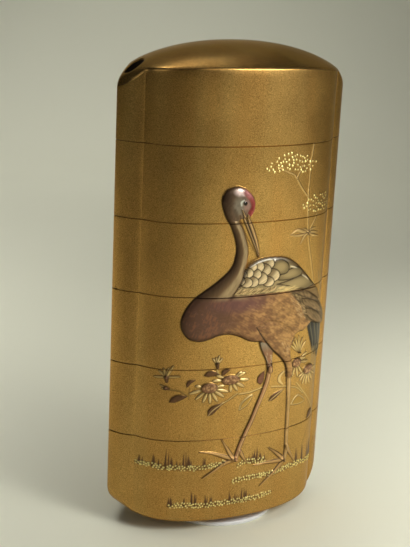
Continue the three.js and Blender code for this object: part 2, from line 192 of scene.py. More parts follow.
def chamber_loop(inset, half_length):
    """A lens-shaped outline that follows the panels at an inset and ends in flat ends."""
    straight = half_length - CHAMBER_CORNER
    end_depth = float(panel_depth(half_length)) - inset
    x = np.linspace(-straight, straight, CHAMBER_STEPS + 1)
    side = np.c_[x, inset - panel_depth(x)]
    turn = end_depth - CHAMBER_CORNER
    corner = bezier(side[-1], (half_length, -end_depth), (half_length, -turn))
    other = bezier((half_length, turn), (half_length, end_depth), -side[0])[:-1]
    half = np.vstack([side, corner, [(half_length, turn)], other])
    return np.vstack([half, -half])


def circle_loop(x, radius, sides=BORE_SIDES):
    """A circle's plan points, about a centre on the line between the bores."""
    turn = 2 * math.pi * np.arange(sides) / sides
    return np.c_[x + radius * np.cos(turn), radius * np.sin(turn)]


def shoulder_curve(x, power, softness):
    """1 in the middle, falling to 0 at the outer ends."""
    return (1 - np.minimum(np.abs(x) / HALF_WIDTH, 1) ** power) ** softness


def lid_edge(x):
    """Height of the edge where the lid's wall meets its dome."""
    u = np.minimum(np.abs(x) / CREASE_X, 1)
    crease = LID_EDGE_Z - LID_ARCH_DROP
    return LID_EDGE_Z - LID_ARCH_DROP * u**3 - (crease - LID_TIP_Z) * strip_share(x)


def base_edge(x):
    """Height of the edge where the bottom case's wall meets its underside."""
    u = np.minimum(np.abs(x) / CREASE_X, 1)
    crease = BASE_EDGE_Z + BASE_ARCH_RISE
    return BASE_EDGE_Z + BASE_ARCH_RISE * u**3 + (BASE_TIP_Z - crease) * strip_share(x)


def across_share(x, y):
    """How far a plan point lies from the middle line, as a share of the way to the outline."""
    return np.minimum(np.abs(y) / np.maximum(outline_depth(x), 1e-6), 1)


def lid_top(x, y):
    """Height of the lid's dome over a plan point."""
    edge = lid_edge(x)
    ridge = LID_TIP_Z + (LID_CROWN_Z - LID_TIP_Z) * shoulder_curve(x, *LID_SHOULDER)
    return edge + np.maximum(ridge - edge, 0) * (1 - across_share(x, y) ** 2)


def underside(x, y):
    """Height of the bottom case's underside at a plan point, flat where it stands."""
    edge = base_edge(x)
    keel = BASE_TIP_Z - (BASE_TIP_Z - BASE_CROWN_Z) * shoulder_curve(x, *BASE_SHOULDER)
    low = edge - np.maximum(edge - keel, 0) * (1 - across_share(x, y) ** 2)
    return np.maximum(low, FOOT_Z)


# ---- Colours and finish ----------------------------------------------------------------------


def srgb(r, g, b):
    """A linear colour from 0..255 screen values."""
    c = np.array([r, g, b]) / 255
    return np.where(c <= 0.04045, c / 12.92, ((c + 0.055) / 1.055) ** 2.4)


def smooth(low, high, value):
    """0 at low, 1 at high, with a soft start and end. low may be the greater."""
    t = np.clip((value - low) / (high - low), 0, 1)
    return t * t * (3 - 2 * t)


def blend(a, b, share):
    """Colours from a to b, one for each share."""
    share = np.asarray(share)[:, None]
    return a * (1 - share) + b * share


GROUND_METAL = 0.85
GROUND_ROUGH = 0.30
DOME_ROUGH = 0.24
GROUND_FINISH = [GROUND_METAL, GROUND_ROUGH, 0.0, 1.0]  # metal, roughness, unused, unused
DOME_FINISH = [GROUND_METAL, DOME_ROUGH, 0.0, 1.0]
BORE_FINISH = [0.1, 0.6, 0.0, 1.0]
GROUND_TINT = np.array([0.42, 0.246, 0.058])
JOINT_TINT = srgb(48, 31, 16)
JOINT_COVER = 0.75      # how dark a joint is on the bare ground
JOINT_RELIEF = 0.65     # how much less it is so where a figure crosses it
BORE_PAINT = [*srgb(24, 15, 8), 1.0]
INK = srgb(46, 33, 24)
# Brown for ink outlines, and for the painted shadows beside stems and gold leaves.
BROWN_INK_AND_SHADOW = srgb(74, 52, 30)
BREAST = srgb(106, 76, 62)
COPPER = srgb(142, 102, 70)
GOLDEN = srgb(166, 126, 78)
PALE = srgb(226, 194, 128)
CREAM = srgb(222, 205, 165)
DOWN = srgb(222, 186, 134)
AMBER = srgb(222, 176, 112)
DUSK = srgb(140, 104, 84)
GLINT = srgb(255, 250, 232)
DOT_GOLD = srgb(255, 236, 152)
LEAF_BROWN = srgb(108, 76, 50)
LEAF_DARK = srgb(78, 50, 34)
DISC_COPPER = srgb(146, 104, 72)
TAIL_BLACK = srgb(46, 47, 46)

# ---- Closed meshes ---------------------------------------------------------------------------

SAME_POINT = 1e-7       # points nearer than this are one
SLIVER = 1e-9           # faces of less than half this area are left out
ZONE_DOME = 0           # the front panel's own number, so that the two meet softly
ZONE_BEVEL, ZONE_CAP, ZONE_RECESS, ZONE_RISER, ZONE_CHAMBER, ZONE_BORE = range(10, 16)
ZONE_CEILING = 32


def inside(points, loop):
    """Whether each point lies inside a closed loop."""
    found = np.zeros(len(points), bool)
    px, py = points[:, 0], points[:, 1]
    for (ax, ay), (bx, by) in zip(loop, np.roll(loop, -1, axis=0)):
        if ay == by:
            continue
        crosses = (ay > py) != (by > py)
        found ^= crosses & (px < ax + (py - ay) * (bx - ax) / (by - ay))
    return found


def closed(loop):
    """The loop as a polyline that ends where it starts."""
    return np.vstack([loop, loop[:1]])


def distance_to(points, line):
    """Distance from each point to a polyline, and how far along it the nearest place is, 0..1."""
    best = np.full(len(points), 1e9)
    share = np.zeros(len(points))
    lengths = np.r_[0, np.cumsum(np.linalg.norm(np.diff(line, axis=0), axis=1))]
    for a, b, start in zip(line[:-1], line[1:], lengths):
        step = b - a
        size = float(step @ step)
        if size == 0:
            continue
        t = np.clip(((points - a) @ step) / size, 0, 1)
        away = np.hypot(*(points - a - t[:, None] * step).T)
        near = away < best
        best[near] = away[near]
        share[near] = (start + t[near] * math.sqrt(size)) / lengths[-1]
    return best, share


def add_object(name, data):
    """A new object in the scene, made of this mesh, lamp or camera."""
    thing = bpy.data.objects.new(name, data)
    bpy.context.scene.collection.objects.link(thing)
    return thing


class Shell:
    """Collects the vertices and faces of one closed piece. Faces of unlike zones meet sharply."""

    def __init__(self):
        self.verts, self.paint, self.finish = [], [], []
        self.count = 0
        self.faces, self.zones = [], []

    def add(self, points, paint=None, finish=None):
        """Adds points of shape (..., 3) and returns their numbers in the same shape."""
        flat = np.asarray(points, float).reshape(-1, 3)
        self.verts.append(flat)
        if paint is None:
            paint = np.zeros((len(flat), 4))
            finish = np.tile(GROUND_FINISH, (len(flat), 1))
        self.paint.append(paint.reshape(-1, 4))
        self.finish.append(finish.reshape(-1, 4))
        index = np.arange(self.count, self.count + len(flat))
        self.count += len(flat)
        return index.reshape(np.shape(points)[:-1])

    def ring(self, loop, z, paint=None):
        points = np.c_[loop, np.broadcast_to(z, len(loop))]
        if paint is None:
            return self.add(points)
        finish = np.tile(BORE_FINISH, (len(loop), 1))
        return self.add(points, np.tile(paint, (len(loop), 1)), finish)

    def wall(self, rings, zone, flip=False):
        """Faces between closed rings of vertex numbers, from the lowest ring up."""
        rings = np.asarray(rings)
        after = np.roll(rings, -1, axis=1)
        quads = np.stack([rings[:-1], after[:-1], after[1:], rings[1:]], -1).reshape(-1, 4)
        zones = np.broadcast_to(zone, rings[:-1].shape).ravel()
        self.faces.append(quads[:, ::-1] if flip else quads)
        self.zones.append(zones)

    def cap(self, loops, zone, up, height=None, inner=()):
        """Fills the plan area between rings of vertex numbers, in a net with the inner points,
        which height(points) places."""
        numbers = np.concatenate([np.ravel(loop) for loop in loops])
        every = np.vstack(self.verts)
        plan = every[numbers, :2]
        edges, first = [], 0
        for loop in loops:
            n = len(loop)
            edges += [(first + i, first + (i + 1) % n) for i in range(n)]
            first += n
        if len(inner):
            polish = np.tile(DOME_FINISH, (len(inner), 1))
            extra = self.add(np.c_[inner, height(inner)], np.zeros((len(inner), 4)), polish)
            numbers = np.concatenate([numbers, extra])
            plan = np.vstack([plan, inner])
        spots = [Vector(p) for p in plan.tolist()]
        verts, _, faces, origin, _, _ = delaunay_2d_cdt(spots, edges, [], 0, SAME_POINT, True)
        place = np.array([numbers[o[0]] for o in origin])
        flat = np.array([(v.x, v.y) for v in verts])
        faces = np.array([f for f in faces if len(f) == 3])
        centre = flat[faces].mean(1)
        odd = np.zeros(len(faces), bool)
        for loop in loops:
            odd ^= inside(centre, every[np.ravel(loop), :2])
        faces = faces[odd]
        a, b, c = (flat[faces[:, k]] for k in range(3))
        turn = np.cross(b - a, c - a)
        faces = faces[np.abs(turn) > SLIVER]
        wrong = (turn[np.abs(turn) > SLIVER] > 0) != up
        faces[wrong] = faces[wrong][:, ::-1]
        self.faces.append(place[faces])
        self.zones.append(np.full(len(faces), zone))

    def build(self, name, material, slot):
        """Makes the Blender object, in metres, riding on the root body."""
        mesh = bpy.data.meshes.new(name)
        verts = np.vstack(self.verts) * MM
        loops = np.concatenate([f.ravel() for f in self.faces])
        totals = np.concatenate([np.full(len(f), f.shape[1]) for f in self.faces])
        mesh.vertices.add(len(verts))
        mesh.vertices.foreach_set("co", verts.ravel())
        mesh.loops.add(len(loops))
        mesh.loops.foreach_set("vertex_index", loops.astype(np.int32))
        mesh.polygons.add(len(totals))
        starts = np.r_[0, np.cumsum(totals)[:-1]]
        mesh.polygons.foreach_set("loop_start", starts.astype(np.int32))
        mesh.update(calc_edges=True)
        self.mark_sharp(mesh, np.concatenate(self.zones), totals)
        for label, parts in (("paint", self.paint), ("finish", self.finish)):
            layer = mesh.attributes.new(label, "FLOAT_COLOR", "POINT")
            layer.data.foreach_set("color", np.vstack(parts).ravel())
        piece = add_object(name, mesh)
        mesh.materials.append(material)
        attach(piece, "root")
        return piece

    @staticmethod
    def mark_sharp(mesh, zones, totals):
        """Smooth shading, with sharp edges where faces of unlike zones meet."""
        mesh.polygons.foreach_set("use_smooth", np.ones(len(totals), bool))
        edge = np.empty(len(mesh.loops), np.int32)
        mesh.loops.foreach_get("edge_index", edge)
        zone = np.repeat(zones, totals)
        low = np.full(len(mesh.edges), 10**6)
        high = np.full(len(mesh.edges), -1)
        np.minimum.at(low, edge, zone)
        np.maximum.at(high, edge, zone)
        sharp = mesh.attributes.new("sharp_edge", "BOOLEAN", "EDGE")
        sharp.data.foreach_set("value", low != high)


RECESS_LOOP = chamber_loop(WALL, RECESS_HALF_LENGTH)
RISER_INSET = WALL + RISER_CLEARANCE
RISER_LENGTH = RECESS_HALF_LENGTH - RISER_CLEARANCE
RISER_LOOP = chamber_loop(RISER_INSET, RISER_LENGTH)
CHAMBER_LOOP = chamber_loop(RISER_INSET + RISER_WALL, RISER_LENGTH - RISER_WALL)
RISER_SOFT_LOOP = chamber_loop(RISER_INSET + RISER_BEVEL, RISER_LENGTH - RISER_BEVEL)
BORE_LOOPS = [circle_loop(x, BORE_RADIUS) for x in (-BORE_X, BORE_X)]


def rounded(away, radius):
    """How far a rounded edge of this radius falls at a distance from the edge's wall."""
    near = np.clip(radius - away, 0, radius)
    return radius - np.sqrt(np.maximum(radius**2 - near**2, 0))


def joint_paint(edge):
    """The darkened paint of a rim's bevel, less dark where a figure crosses the joint."""
    cover = edge[:, 3:]
    share = JOINT_COVER - JOINT_RELIEF * cover
    return np.hstack([edge[:, :3] * (1 - share) + JOINT_TINT * share, np.maximum(cover, share)])


def outer_wall(shell, plan, low, high, rows, front=None, back=None, bevels=(True, True)):
    """The outer wall between two edges, in rows, with chamfered rims where bevels says so.
    front and back draw on their panels. Returns the wall's end rings."""
    x, y = plan.points.T
    low = np.broadcast_to(low, len(x))
    high = np.broadcast_to(high, len(x))
    start = low + (RIM_BEVEL if bevels[0] else 0)
    stop = high - (RIM_BEVEL if bevels[1] else 0)
    share = np.linspace(0, 1, rows)[:, None]
    z = start + (stop - start) * share
    height = np.zeros(z.shape)
    paint = np.zeros(z.shape + (4,))
    finish = np.tile(GROUND_FINISH, z.shape + (1,))
    for part, draw, side in ((plan.front, front, 1), (plan.back, back, -1)):
        if draw is None:
            continue
        canvas = Canvas(side * np.broadcast_to(x[part], z[:, part].shape), z[:, part])
        draw(canvas)
        height[:, part], paint[:, part], finish[:, part] = canvas.layers()
    nx, ny = plan.normals.T
    points = np.stack([x + nx * height, y + ny * height, z], -1)
    rings = list(shell.add(points, paint, finish))
    zones = [np.broadcast_to(plan.zone, len(x))] * (rows - 1)
    inset = np.c_[x - nx * RIM_BEVEL, y - ny * RIM_BEVEL]
    if bevels[0]:
        rings.insert(0, shell.add(np.c_[inset, low], joint_paint(paint[0]), finish[0]))
        zones.insert(0, np.full(len(x), ZONE_BEVEL))
    if bevels[1]:
        rings.append(shell.add(np.c_[inset, high], joint_paint(paint[-1]), finish[-1]))
        zones.append(np.full(len(x), ZONE_BEVEL))
    shell.wall(rings, np.array(zones))
    return rings[0], rings[-1]


def add_riser(shell, outer, bores, top_z, floor_z):
    """The flat rim inside an outer ring, the riser that stands on it, and the chamber within."""
    foot = shell.ring(RISER_LOOP, top_z)
    shell.cap([outer, foot, *bores], ZONE_CAP, True)
    lip = top_z + RISER_HEIGHT
    outside = [foot, shell.ring(RISER_LOOP, lip - RISER_BEVEL)]
    soft = shell.ring(RISER_SOFT_LOOP, lip)
    shell.wall(outside, ZONE_RISER)
    shell.wall([outside[-1], soft], ZONE_BEVEL)
    mouth = shell.ring(CHAMBER_LOOP, lip)
    floor = shell.ring(CHAMBER_LOOP, floor_z)
    shell.cap([soft, mouth], ZONE_CAP, True)
    shell.wall([floor, mouth], ZONE_CHAMBER, flip=True)
    shell.cap([floor], ZONE_CAP, True)


def add_bores(shell, low, high):
    """The two cord bores, between a low and a high height for each. Returns their end rings."""
    pairs = []
    for loop, foot, top in zip(BORE_LOOPS, low, high):
        pair = [shell.ring(loop, foot, BORE_PAINT), shell.ring(loop, top, BORE_PAINT)]
        shell.wall(pair, ZONE_BORE, flip=True)
        pairs.append(pair)
    return [pair[0] for pair in pairs], [pair[1] for pair in pairs]


def add_recess(shell, bottom, rims, low, ceiling_z):
    """The flat rim under a piece and its recess. Returns the ring round the recess's ceiling."""
    mouth = shell.ring(RECESS_LOOP, low)
    ceiling = shell.ring(RECESS_LOOP, ceiling_z)
    shell.cap([bottom, mouth, *rims], ZONE_CAP, False)
    shell.wall([mouth, ceiling], ZONE_RECESS, flip=True)
    return ceiling


def middle_case(name, low, high, front, back):
    """A middle case: recess below, chamber and riser above, relief on both panels."""
    shell = Shell()
    plan = Plan(FINE_PANEL, BACK_PANEL)
    rows = math.ceil((high - low) / FINE_STEP)
    bottom, top = outer_wall(shell, plan, low, high, rows, front, back)
    feet, rims = add_bores(shell, [low, low], [high, high])
    ceiling = add_recess(shell, bottom, feet, low, low + RECESS_HEIGHT)
    shell.cap([ceiling], ZONE_CAP, False)
    add_riser(shell, top, rims, high, low + RECESS_HEIGHT + FLOOR)
    return dress(shell, name)


def bore_distance(points):
    """Distance from each plan point to the wall of the nearer bore, negative inside it."""
    return np.hypot(np.abs(points[:, 0]) - BORE_X, points[:, 1]) - BORE_RADIUS


def even_grid(loop, corner, step, gap):
    """An even grid of points inside a loop, more than gap away from it. corner is its reach."""
    x, y = np.meshgrid(*(spaced(-reach, reach, step) for reach in corner))
    grid = np.c_[x.ravel(), y.ravel()]
    return grid[inside(grid, loop) & (distance_to(grid, closed(loop))[0] > gap)]


def dome_points(plan):
    """Plan points for a dome: soft rows along its edge and round the bores, and an even grid."""
    border = plan.points
    rows = []
    for away in EDGE_ROUNDING * SOFT_ROWS:
        row = border - plan.normals * away
        rows.append(row[distance_to(row, closed(border))[0] > ROW_KEPT * away])
        rows += [circle_loop(x, BORE_RADIUS + away) for x in (-BORE_X, BORE_X)]
    points = np.vstack(rows)
    clear = distance_to(points, closed(border))[0] > POINT_GAP
    points = points[inside(points, border) & clear & (bore_distance(points) > POINT_GAP)]
    grid = even_grid(border, (HALF_WIDTH, HALF_DEPTH), DOME_STEP, EDGE_ROUNDING + GRID_GAP)
    return np.vstack([points, grid[bore_distance(grid) > EDGE_ROUNDING + GRID_GAP]])


def softened(plan, surface, direction):
    """surface(x, y) as a function of points, with its outer edge and bore rims rounded over."""
    border = closed(plan.points)

    def height(points):
        fall = rounded(distance_to(points, border)[0], EDGE_ROUNDING)
        rim = rounded(np.maximum(bore_distance(points), 0), BORE_ROUNDING)
        return surface(*points.T) - direction * np.maximum(fall, rim)

    return height


def lid_piece():
    """The lid: plain wall, domed top pierced by the two cord bores, recess below."""
    shell = Shell()
    plan = Plan(PLAIN_PANEL, PLAIN_PANEL)
    low = JOINTS[-1]
    height = softened(plan, lid_top, 1)
    edge = height(plan.points)
    bottom, top = outer_wall(shell, plan, low, edge, LID_ROWS, bevels=(True, False))
    feet, rims = add_bores(shell, [low, low], [height(loop) for loop in BORE_LOOPS])
    shell.cap([top, *rims], ZONE_DOME, True, height, dome_points(plan))

    def inner_top(points):
        return lid_top(*points.T) - LID_TOP_WALL

    ceiling = add_recess(shell, bottom, feet, low, inner_top(RECESS_LOOP))
    grid = even_grid(RECESS_LOOP, RECESS_LOOP.max(0), CEILING_STEP, 0.4 * CEILING_STEP)
    shell.cap([ceiling], ZONE_CEILING, False, inner_top, grid)
    return dress(shell, "lid")


def bottom_piece(front, back):
    """The bottom case: relief wall over a shallow domed underside, chamber and riser above."""
    shell = Shell()
    plan = Plan(FINE_PANEL, BACK_PANEL)
    high = JOINTS[0]
    height = softened(plan, underside, -1)
    edge = height(plan.points)
    rows = math.ceil((high - BASE_EDGE_Z) / FINE_STEP)
    bottom, top = outer_wall(shell, plan, edge, high, rows, front, back, bevels=(False, True))
    feet, rims = add_bores(shell, [height(loop) for loop in BORE_LOOPS], [high, high])
    shell.cap([bottom, *feet], ZONE_DOME, False, height, dome_points(plan))
    add_riser(shell, top, rims, high, BASE_FLOOR_Z)
    return dress(shell, "bottom_case")


def dress(shell, node):
    """Makes the shell's object and lets it stand for its CAD node."""
    piece = shell.build(node + "_lacquer", gold_lacquer, "gold_lacquer")
    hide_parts(node)
    return piece


# ---- Drawing in relief -----------------------------------------------------------------------


def cloud(x, z, size, seed=0):
    """Smooth value noise, 0..1, with features of the given size."""
    gx, gz = np.asarray(x) / size, np.asarray(z) / size
    ix, iz = np.floor(gx).astype(np.int64), np.floor(gz).astype(np.int64)
    fx, fz = gx - ix, gz - iz
    fx, fz = fx * fx * (3 - 2 * fx), fz * fz * (3 - 2 * fz)

    def corner(i, j):
        h = ((ix + i) * 374761393 + (iz + j) * 668265263 + seed * 974634777) & 0xFFFFFFFF
        h = ((h ^ (h >> 13)) * 1274126177) & 0xFFFFFFFF
        return ((h ^ (h >> 16)) & 0xFFFF) / 65535

    low = corner(0, 0) * (1 - fx) + corner(1, 0) * fx
    high = corner(0, 1) * (1 - fx) + corner(1, 1) * fx
    return low * (1 - fz) + high * fz


def spline(points, per=8):
    """A Catmull-Rom curve through the points."""
    p = np.array(points, float)
    p = np.vstack([2 * p[0] - p[1], p, 2 * p[-1] - p[-2]])
    t = np.linspace(0, 1, per, endpoint=False)[:, None]
    parts = []
    for a, b, c, d in zip(p[:-3], p[1:-2], p[2:-1], p[3:]):
        bend = (2 * a - 5 * b + 4 * c - d) * t**2 + (3 * b - a - 3 * c + d) * t**3
        parts.append(0.5 * (2 * b + (c - a) * t + bend))
    return np.vstack(parts + [p[-2:-1]])


def closed_spline(points):
    return spline([*points, points[0]])


def evenly(values, share):
    """Values spread evenly over 0..1, read at each share."""
    return np.interp(share, np.linspace(0, 1, len(values)), values)


def ribbon(points, widths, per=6):
    """The outline of a band with the given half widths along a spline."""
    line = spline(points, per) if len(points) > 2 else np.array(points, float)
    if len(line) == 2:
        line = line[0] + np.linspace(0, 1, 9)[:, None] * (line[1] - line[0])
    heading = np.gradient(line, axis=0)
    heading /= np.linalg.norm(heading, axis=1)[:, None]
    half = evenly(widths, np.linspace(0, 1, len(line)))[:, None]
    side = np.c_[-heading[:, 1], heading[:, 0]] * half
    return np.vstack([line + side, (line - side)[::-1]])


HALO = 0.14             # width of the dark ring about a dot
DOT_SOFT = 0.06
DOT_REACH = 0.15        # how far past its radius a dot may paint


class Canvas:
    """One panel's wall as a drawing surface: height, colour and finish at every grid vertex."""

    def __init__(self, x, z):
        self.x, self.z = x, z
        self.height = np.zeros(x.shape)
        self.colour = np.tile(GROUND_TINT, x.shape + (1,))
        self.cover = np.zeros(x.shape)
        self.metal = np.full(x.shape, GROUND_METAL)
        self.rough = np.full(x.shape, GROUND_ROUGH)
        self.open = np.ones(x.shape)

    def window(self, points, margin):
        """The grid vertices near these points, or None."""
        points = np.asarray(points)
        (x0, z0), (x1, z1) = points.min(0) - margin, points.max(0) + margin
        mask = (self.x >= x0) & (self.x <= x1) & (self.z >= z0) & (self.z <= z1)
        if not mask.any():
            return None, None
        return mask, np.c_[self.x[mask], self.z[mask]]

    def lay(self, mask, cover, tint, height=None, metal=0.5, rough=0.42, add=0.0):
        """Paints over the masked vertices: cover 0..1, and a height above the ground."""
        cover = cover * self.open[mask]
        rest = self.cover[mask] * (1 - cover)
        total = np.maximum(cover + rest, 1e-6)
        tint = np.broadcast_to(tint, (len(cover), 3))
        old = self.colour[mask]
        mixed = (tint * cover[:, None] + old * rest[:, None]) / total[:, None]
        self.colour[mask] = np.where(total[:, None] > 1e-5, mixed, old)
        self.cover[mask] = total
        self.metal[mask] += (metal - self.metal[mask]) * cover
        self.rough[mask] += (rough - self.rough[mask]) * cover
        if height is not None:
            self.height[mask] += (height - self.height[mask]) * cover
        self.height[mask] += add * cover

    def layers(self):
        """Height, paint and finish, with the relief run out at the creases."""
        fade = smooth(0, FIGURE_FADE, CREASE_X - np.abs(self.x))
        paint = np.concatenate([self.colour, self.cover[..., None]], -1)
        flat = np.zeros(self.x.shape)
        finish = np.stack([self.metal, self.rough, flat, flat + 1], -1)
        return self.height * fade, paint, finish

    def stroke(self, points, widths, tint, rise=0.0, soft=0.07, opaque=1.0, **finish):
        """A line with the given half widths along it, raised by rise above what it crosses."""
        line = spline(points, 6) if len(points) > 2 else np.array(points, float)
        mask, spots = self.window(line, max(widths) + soft)
        if mask is None:
            return
        away, share = distance_to(spots, line)
        half = evenly(widths, share)
        cover = opaque * (1 - smooth(-soft, soft, away - half))
        dome = np.sqrt(np.clip(1 - (away / (half + soft)) ** 2, 0, 1))
        colour = tint(share, away / np.maximum(half, 1e-6)) if callable(tint) else tint
        self.lay(mask, cover, colour, add=rise * dome, **finish)

    def area(self, loop, tint, height, edge=1.0, foot=0.4, soft=0.07, line=None, **finish):
        """A raised area inside a closed loop. It rises from foot * height over edge mm.
        foot may be a function of x and z. line is the colour and width of a line at the edge."""
        mask, spots = self.window(loop, soft)
        if mask is None:
            return
        away = distance_to(spots, closed(loop))[0]
        signed = np.where(inside(spots, loop), away, -away)
        cover = smooth(-soft, soft, signed)
        t = np.clip(signed / edge, 0, 1)
        low = foot(spots[:, 0], spots[:, 1]) if callable(foot) else foot
        dome = low + (1 - low) * np.sqrt(1 - (1 - t) ** 2)
        colour = tint(spots[:, 0], spots[:, 1], signed) if callable(tint) else tint
        colour = np.broadcast_to(colour, (len(signed), 3))
        if line is not None:
            ink, width = line
            colour = blend(colour, ink, 1 - smooth(width - soft, width + soft, signed))
        self.lay(mask, cover, colour, height=height * dome, **finish)

    def shield(self, within=None, without=None):
        """Keeps later drawing inside one closed loop and outside another."""
        self.open[:] = 1 if within is None else 0
        for loop, value in ((within, 1), (without, 0)):
            if loop is None:
                continue
            mask, spots = self.window(loop, 0)
            if mask is not None:
                self.open[mask] = np.where(inside(spots, loop), value, self.open[mask])

    def dot(self, x, z, radius, tint, rise, halo=True):
        """A small round dome, with a dark ring about it where there is a halo."""
        mask, spots = self.window([(x, z)], radius + DOT_REACH)
        if mask is None:
            return
        away = np.hypot(spots[:, 0] - x, spots[:, 1] - z)
        if halo:
            self.lay(mask, 0.6 * (1 - smooth(radius, radius + HALO, away)), BROWN_INK_AND_SHADOW)
        cover = 1 - smooth(radius - DOT_SOFT, radius + DOT_SOFT, away)
        dome = np.sqrt(np.clip(1 - (away / (radius + DOT_SOFT)) ** 2, 0, 1))
        self.lay(mask, cover, tint, add=rise * dome, metal=0.8, rough=0.3)

    def outlined(self, points, widths, tint, ink, line, rise=0.1, **finish):
        """A stroke with an ink line along both sides."""
        self.stroke(points, [w + line for w in widths], ink, rise, **finish)
        self.stroke(points, [max(w, 0.02) for w in widths], tint, 0.0, **finish)


# ---- The crane -------------------------------------------------------------------------------

FRONT_LINE = [  # nape, neck, breast and belly, down the left side
    (-6.8, 69.7), (-6.9, 68.4), (-6.2, 66.3), (-5.1, 64.1), (-4.2, 62.0), (-3.6, 59.6),
    (-3.7, 57.7), (-4.2, 55.9), (-5.4, 54.4), (-7.6, 52.5), (-9.5, 51.1), (-11.3, 49.6),
    (-12.7, 47.6), (-13.5, 45.2), (-13.2, 43.2), (-11.9, 41.6), (-10.0, 41.1), (-8.1, 41.5),
    (-6.1, 42.2), (-4.1, 42.3), (-2.0, 41.7), (0.2, 40.6), (2.9, 40.1),
]
REAR_LINE = [  # rump, a line hidden under the wing, and the right side of the neck
    (6.5, 38.6), (9.8, 38.2), (10.5, 40.1), (11.8, 40.9), (13.3, 41.0), (15.3, 42.6),
    (15.8, 44.6), (15.2, 47.6), (11.5, 51.6), (6.4, 53.6), (1.8, 54.0), (-1.0, 54.2),
    (-1.7, 55.0), (-1.2, 56.7), (-1.2, 59.2), (-1.8, 61.3), (-2.5, 63.1), (-3.3, 64.6),
    (-3.6, 66.2), (-3.8, 69.0),
]
HEAD = [
    (-6.9, 68.6), (-6.7, 69.8), (-6.2, 70.6), (-5.3, 71.1), (-4.2, 71.4), (-3.2, 71.2),
    (-2.0, 70.5), (-0.9, 69.4), (-0.4, 68.0), (-0.5, 66.6), (-1.1, 65.8), (-1.9, 65.6),
    (-2.8, 65.2), (-3.7, 64.9), (-4.6, 64.9), (-5.6, 65.8), (-6.4, 67.0),
]
NECK_RIGHT = [
    (-3.3, 66.4), (-3.3, 64.6), (-2.6, 63.5), (-1.7, 61.1), (-1.1, 59.1), (-1.2, 56.7),
    (-1.5, 55.2), (-2.2, 53.2), (-3.0, 51.7), (-3.9, 50.3), (-5.2, 48.6), (-7.0, 46.8),
]
CROWN = [
    (-2.5, 70.9), (-1.3, 69.9), (-0.5, 68.6), (-0.4, 67.3), (-0.8, 66.2), (-1.3, 65.5),
    (-1.9, 66.2), (-1.7, 66.9), (-1.3, 67.7), (-1.7, 68.7), (-2.4, 69.5), (-3.0, 70.2),
]
NEAR_THIGH = [
    (1.4, 43.4), (3.4, 40.5), (5.4, 38.2), (7.7, 36.1), (9.0, 34.2), (9.6, 31.6),
    (10.7, 31.9), (10.6, 34.1), (10.1, 36.0), (9.9, 38.2), (10.6, 40.3), (8.0, 43.0),
    (4.5, 44.5),
]
FAR_THIGH = [
    (2.3, 40.6), (2.6, 39.2), (3.1, 38.0), (4.2, 35.8), (4.7, 33.6), (6.0, 33.4),
    (5.7, 35.6), (5.6, 38.4), (4.0, 40.6),
]
WING = [
    (-4.1, 50.3), (-3.0, 52.0), (-2.2, 53.5), (-1.5, 55.4), (-0.5, 56.2), (0.7, 56.8),
    (2.2, 57.2), (3.6, 57.3), (5.2, 57.2), (6.7, 57.0), (8.4, 56.4), (10.2, 55.2),
    (11.8, 53.8), (13.1, 52.5), (14.2, 51.1), (15.4, 49.8), (16.1, 48.6), (16.5, 47.0),
    (14.4, 48.5), (12.2, 49.6), (8.5, 50.1), (4.0, 50.2), (-1.0, 50.2),
]
COVERTS = [  # right edge and half height of each scale-like feather
    (4.5, 52.2, 1.0), (3.0, 52.9, 1.25), (1.1, 52.4, 1.05), (-0.2, 52.4, 1.0),
    (-1.8, 52.8, 0.9), (-2.7, 51.7, 0.7), (5.7, 53.3, 1.25), (3.7, 54.6, 1.15),
    (1.6, 53.9, 1.1), (-0.1, 54.3, 1.0), (-1.4, 54.1, 0.8), (4.3, 55.8, 1.2),
    (2.1, 55.3, 1.3), (0.6, 55.5, 0.9),
]
LONG_FEATHERS = [  # the lowest one first
    [(4.8, 51.9), (8.3, 52.5), (10.6, 53.1), (12.3, 52.6), (13.6, 51.5), (14.4, 50.6),
     (12.4, 50.0), (11.0, 50.2), (8.8, 50.9), (6.8, 51.4)],
    [(4.6, 52.9), (5.8, 53.8), (7.9, 54.7), (9.5, 55.0), (10.7, 54.5), (11.1, 53.6), (10.4, 52.9),
     (8.3, 52.5), (6.0, 52.5)],
    [(3.6, 55.2), (4.4, 56.6), (6.0, 56.8), (7.3, 56.1), (7.8, 55.0), (7.4, 54.0), (6.2, 53.7),
     (5.0, 54.0)],
]
TERTIAL_FIELD = [
    (8.4, 49.9), (12.2, 49.5), (14.4, 48.5), (16.5, 47.0), (18.5, 44.8), (19.9, 42.0),
    (19.6, 40.6), (17.6, 41.4), (15.2, 42.4), (13.3, 43.4), (12.3, 45.0), (11.4, 46.8),
    (10.0, 48.4),
]
TERTIALS = [  # the lowest one first
    [(12.6, 45.9), (14.5, 45.4), (16.8, 43.8), (18.4, 41.4), (16.6, 41.8), (14.6, 43.0),
     (13.2, 44.2)],
    [(11.4, 48.1), (13.5, 47.7), (16.0, 46.4), (18.0, 44.0), (16.4, 44.3), (13.9, 45.7),
     (12.2, 46.6)],
    [(9.0, 49.8), (11.8, 49.7), (13.8, 48.9), (16.4, 46.9), (15.6, 46.8), (13.4, 47.7),
     (11.2, 48.7)],
]


def fur(x, z, heading, seed):
    """Streaky noise, 0..1, whose strands run along heading degrees."""
    angle = math.radians(heading)
    along = x * math.cos(angle) + z * math.sin(angle)
    across = z * math.cos(angle) - x * math.sin(angle)
    return cloud(along, across * 5, 0.9, seed)


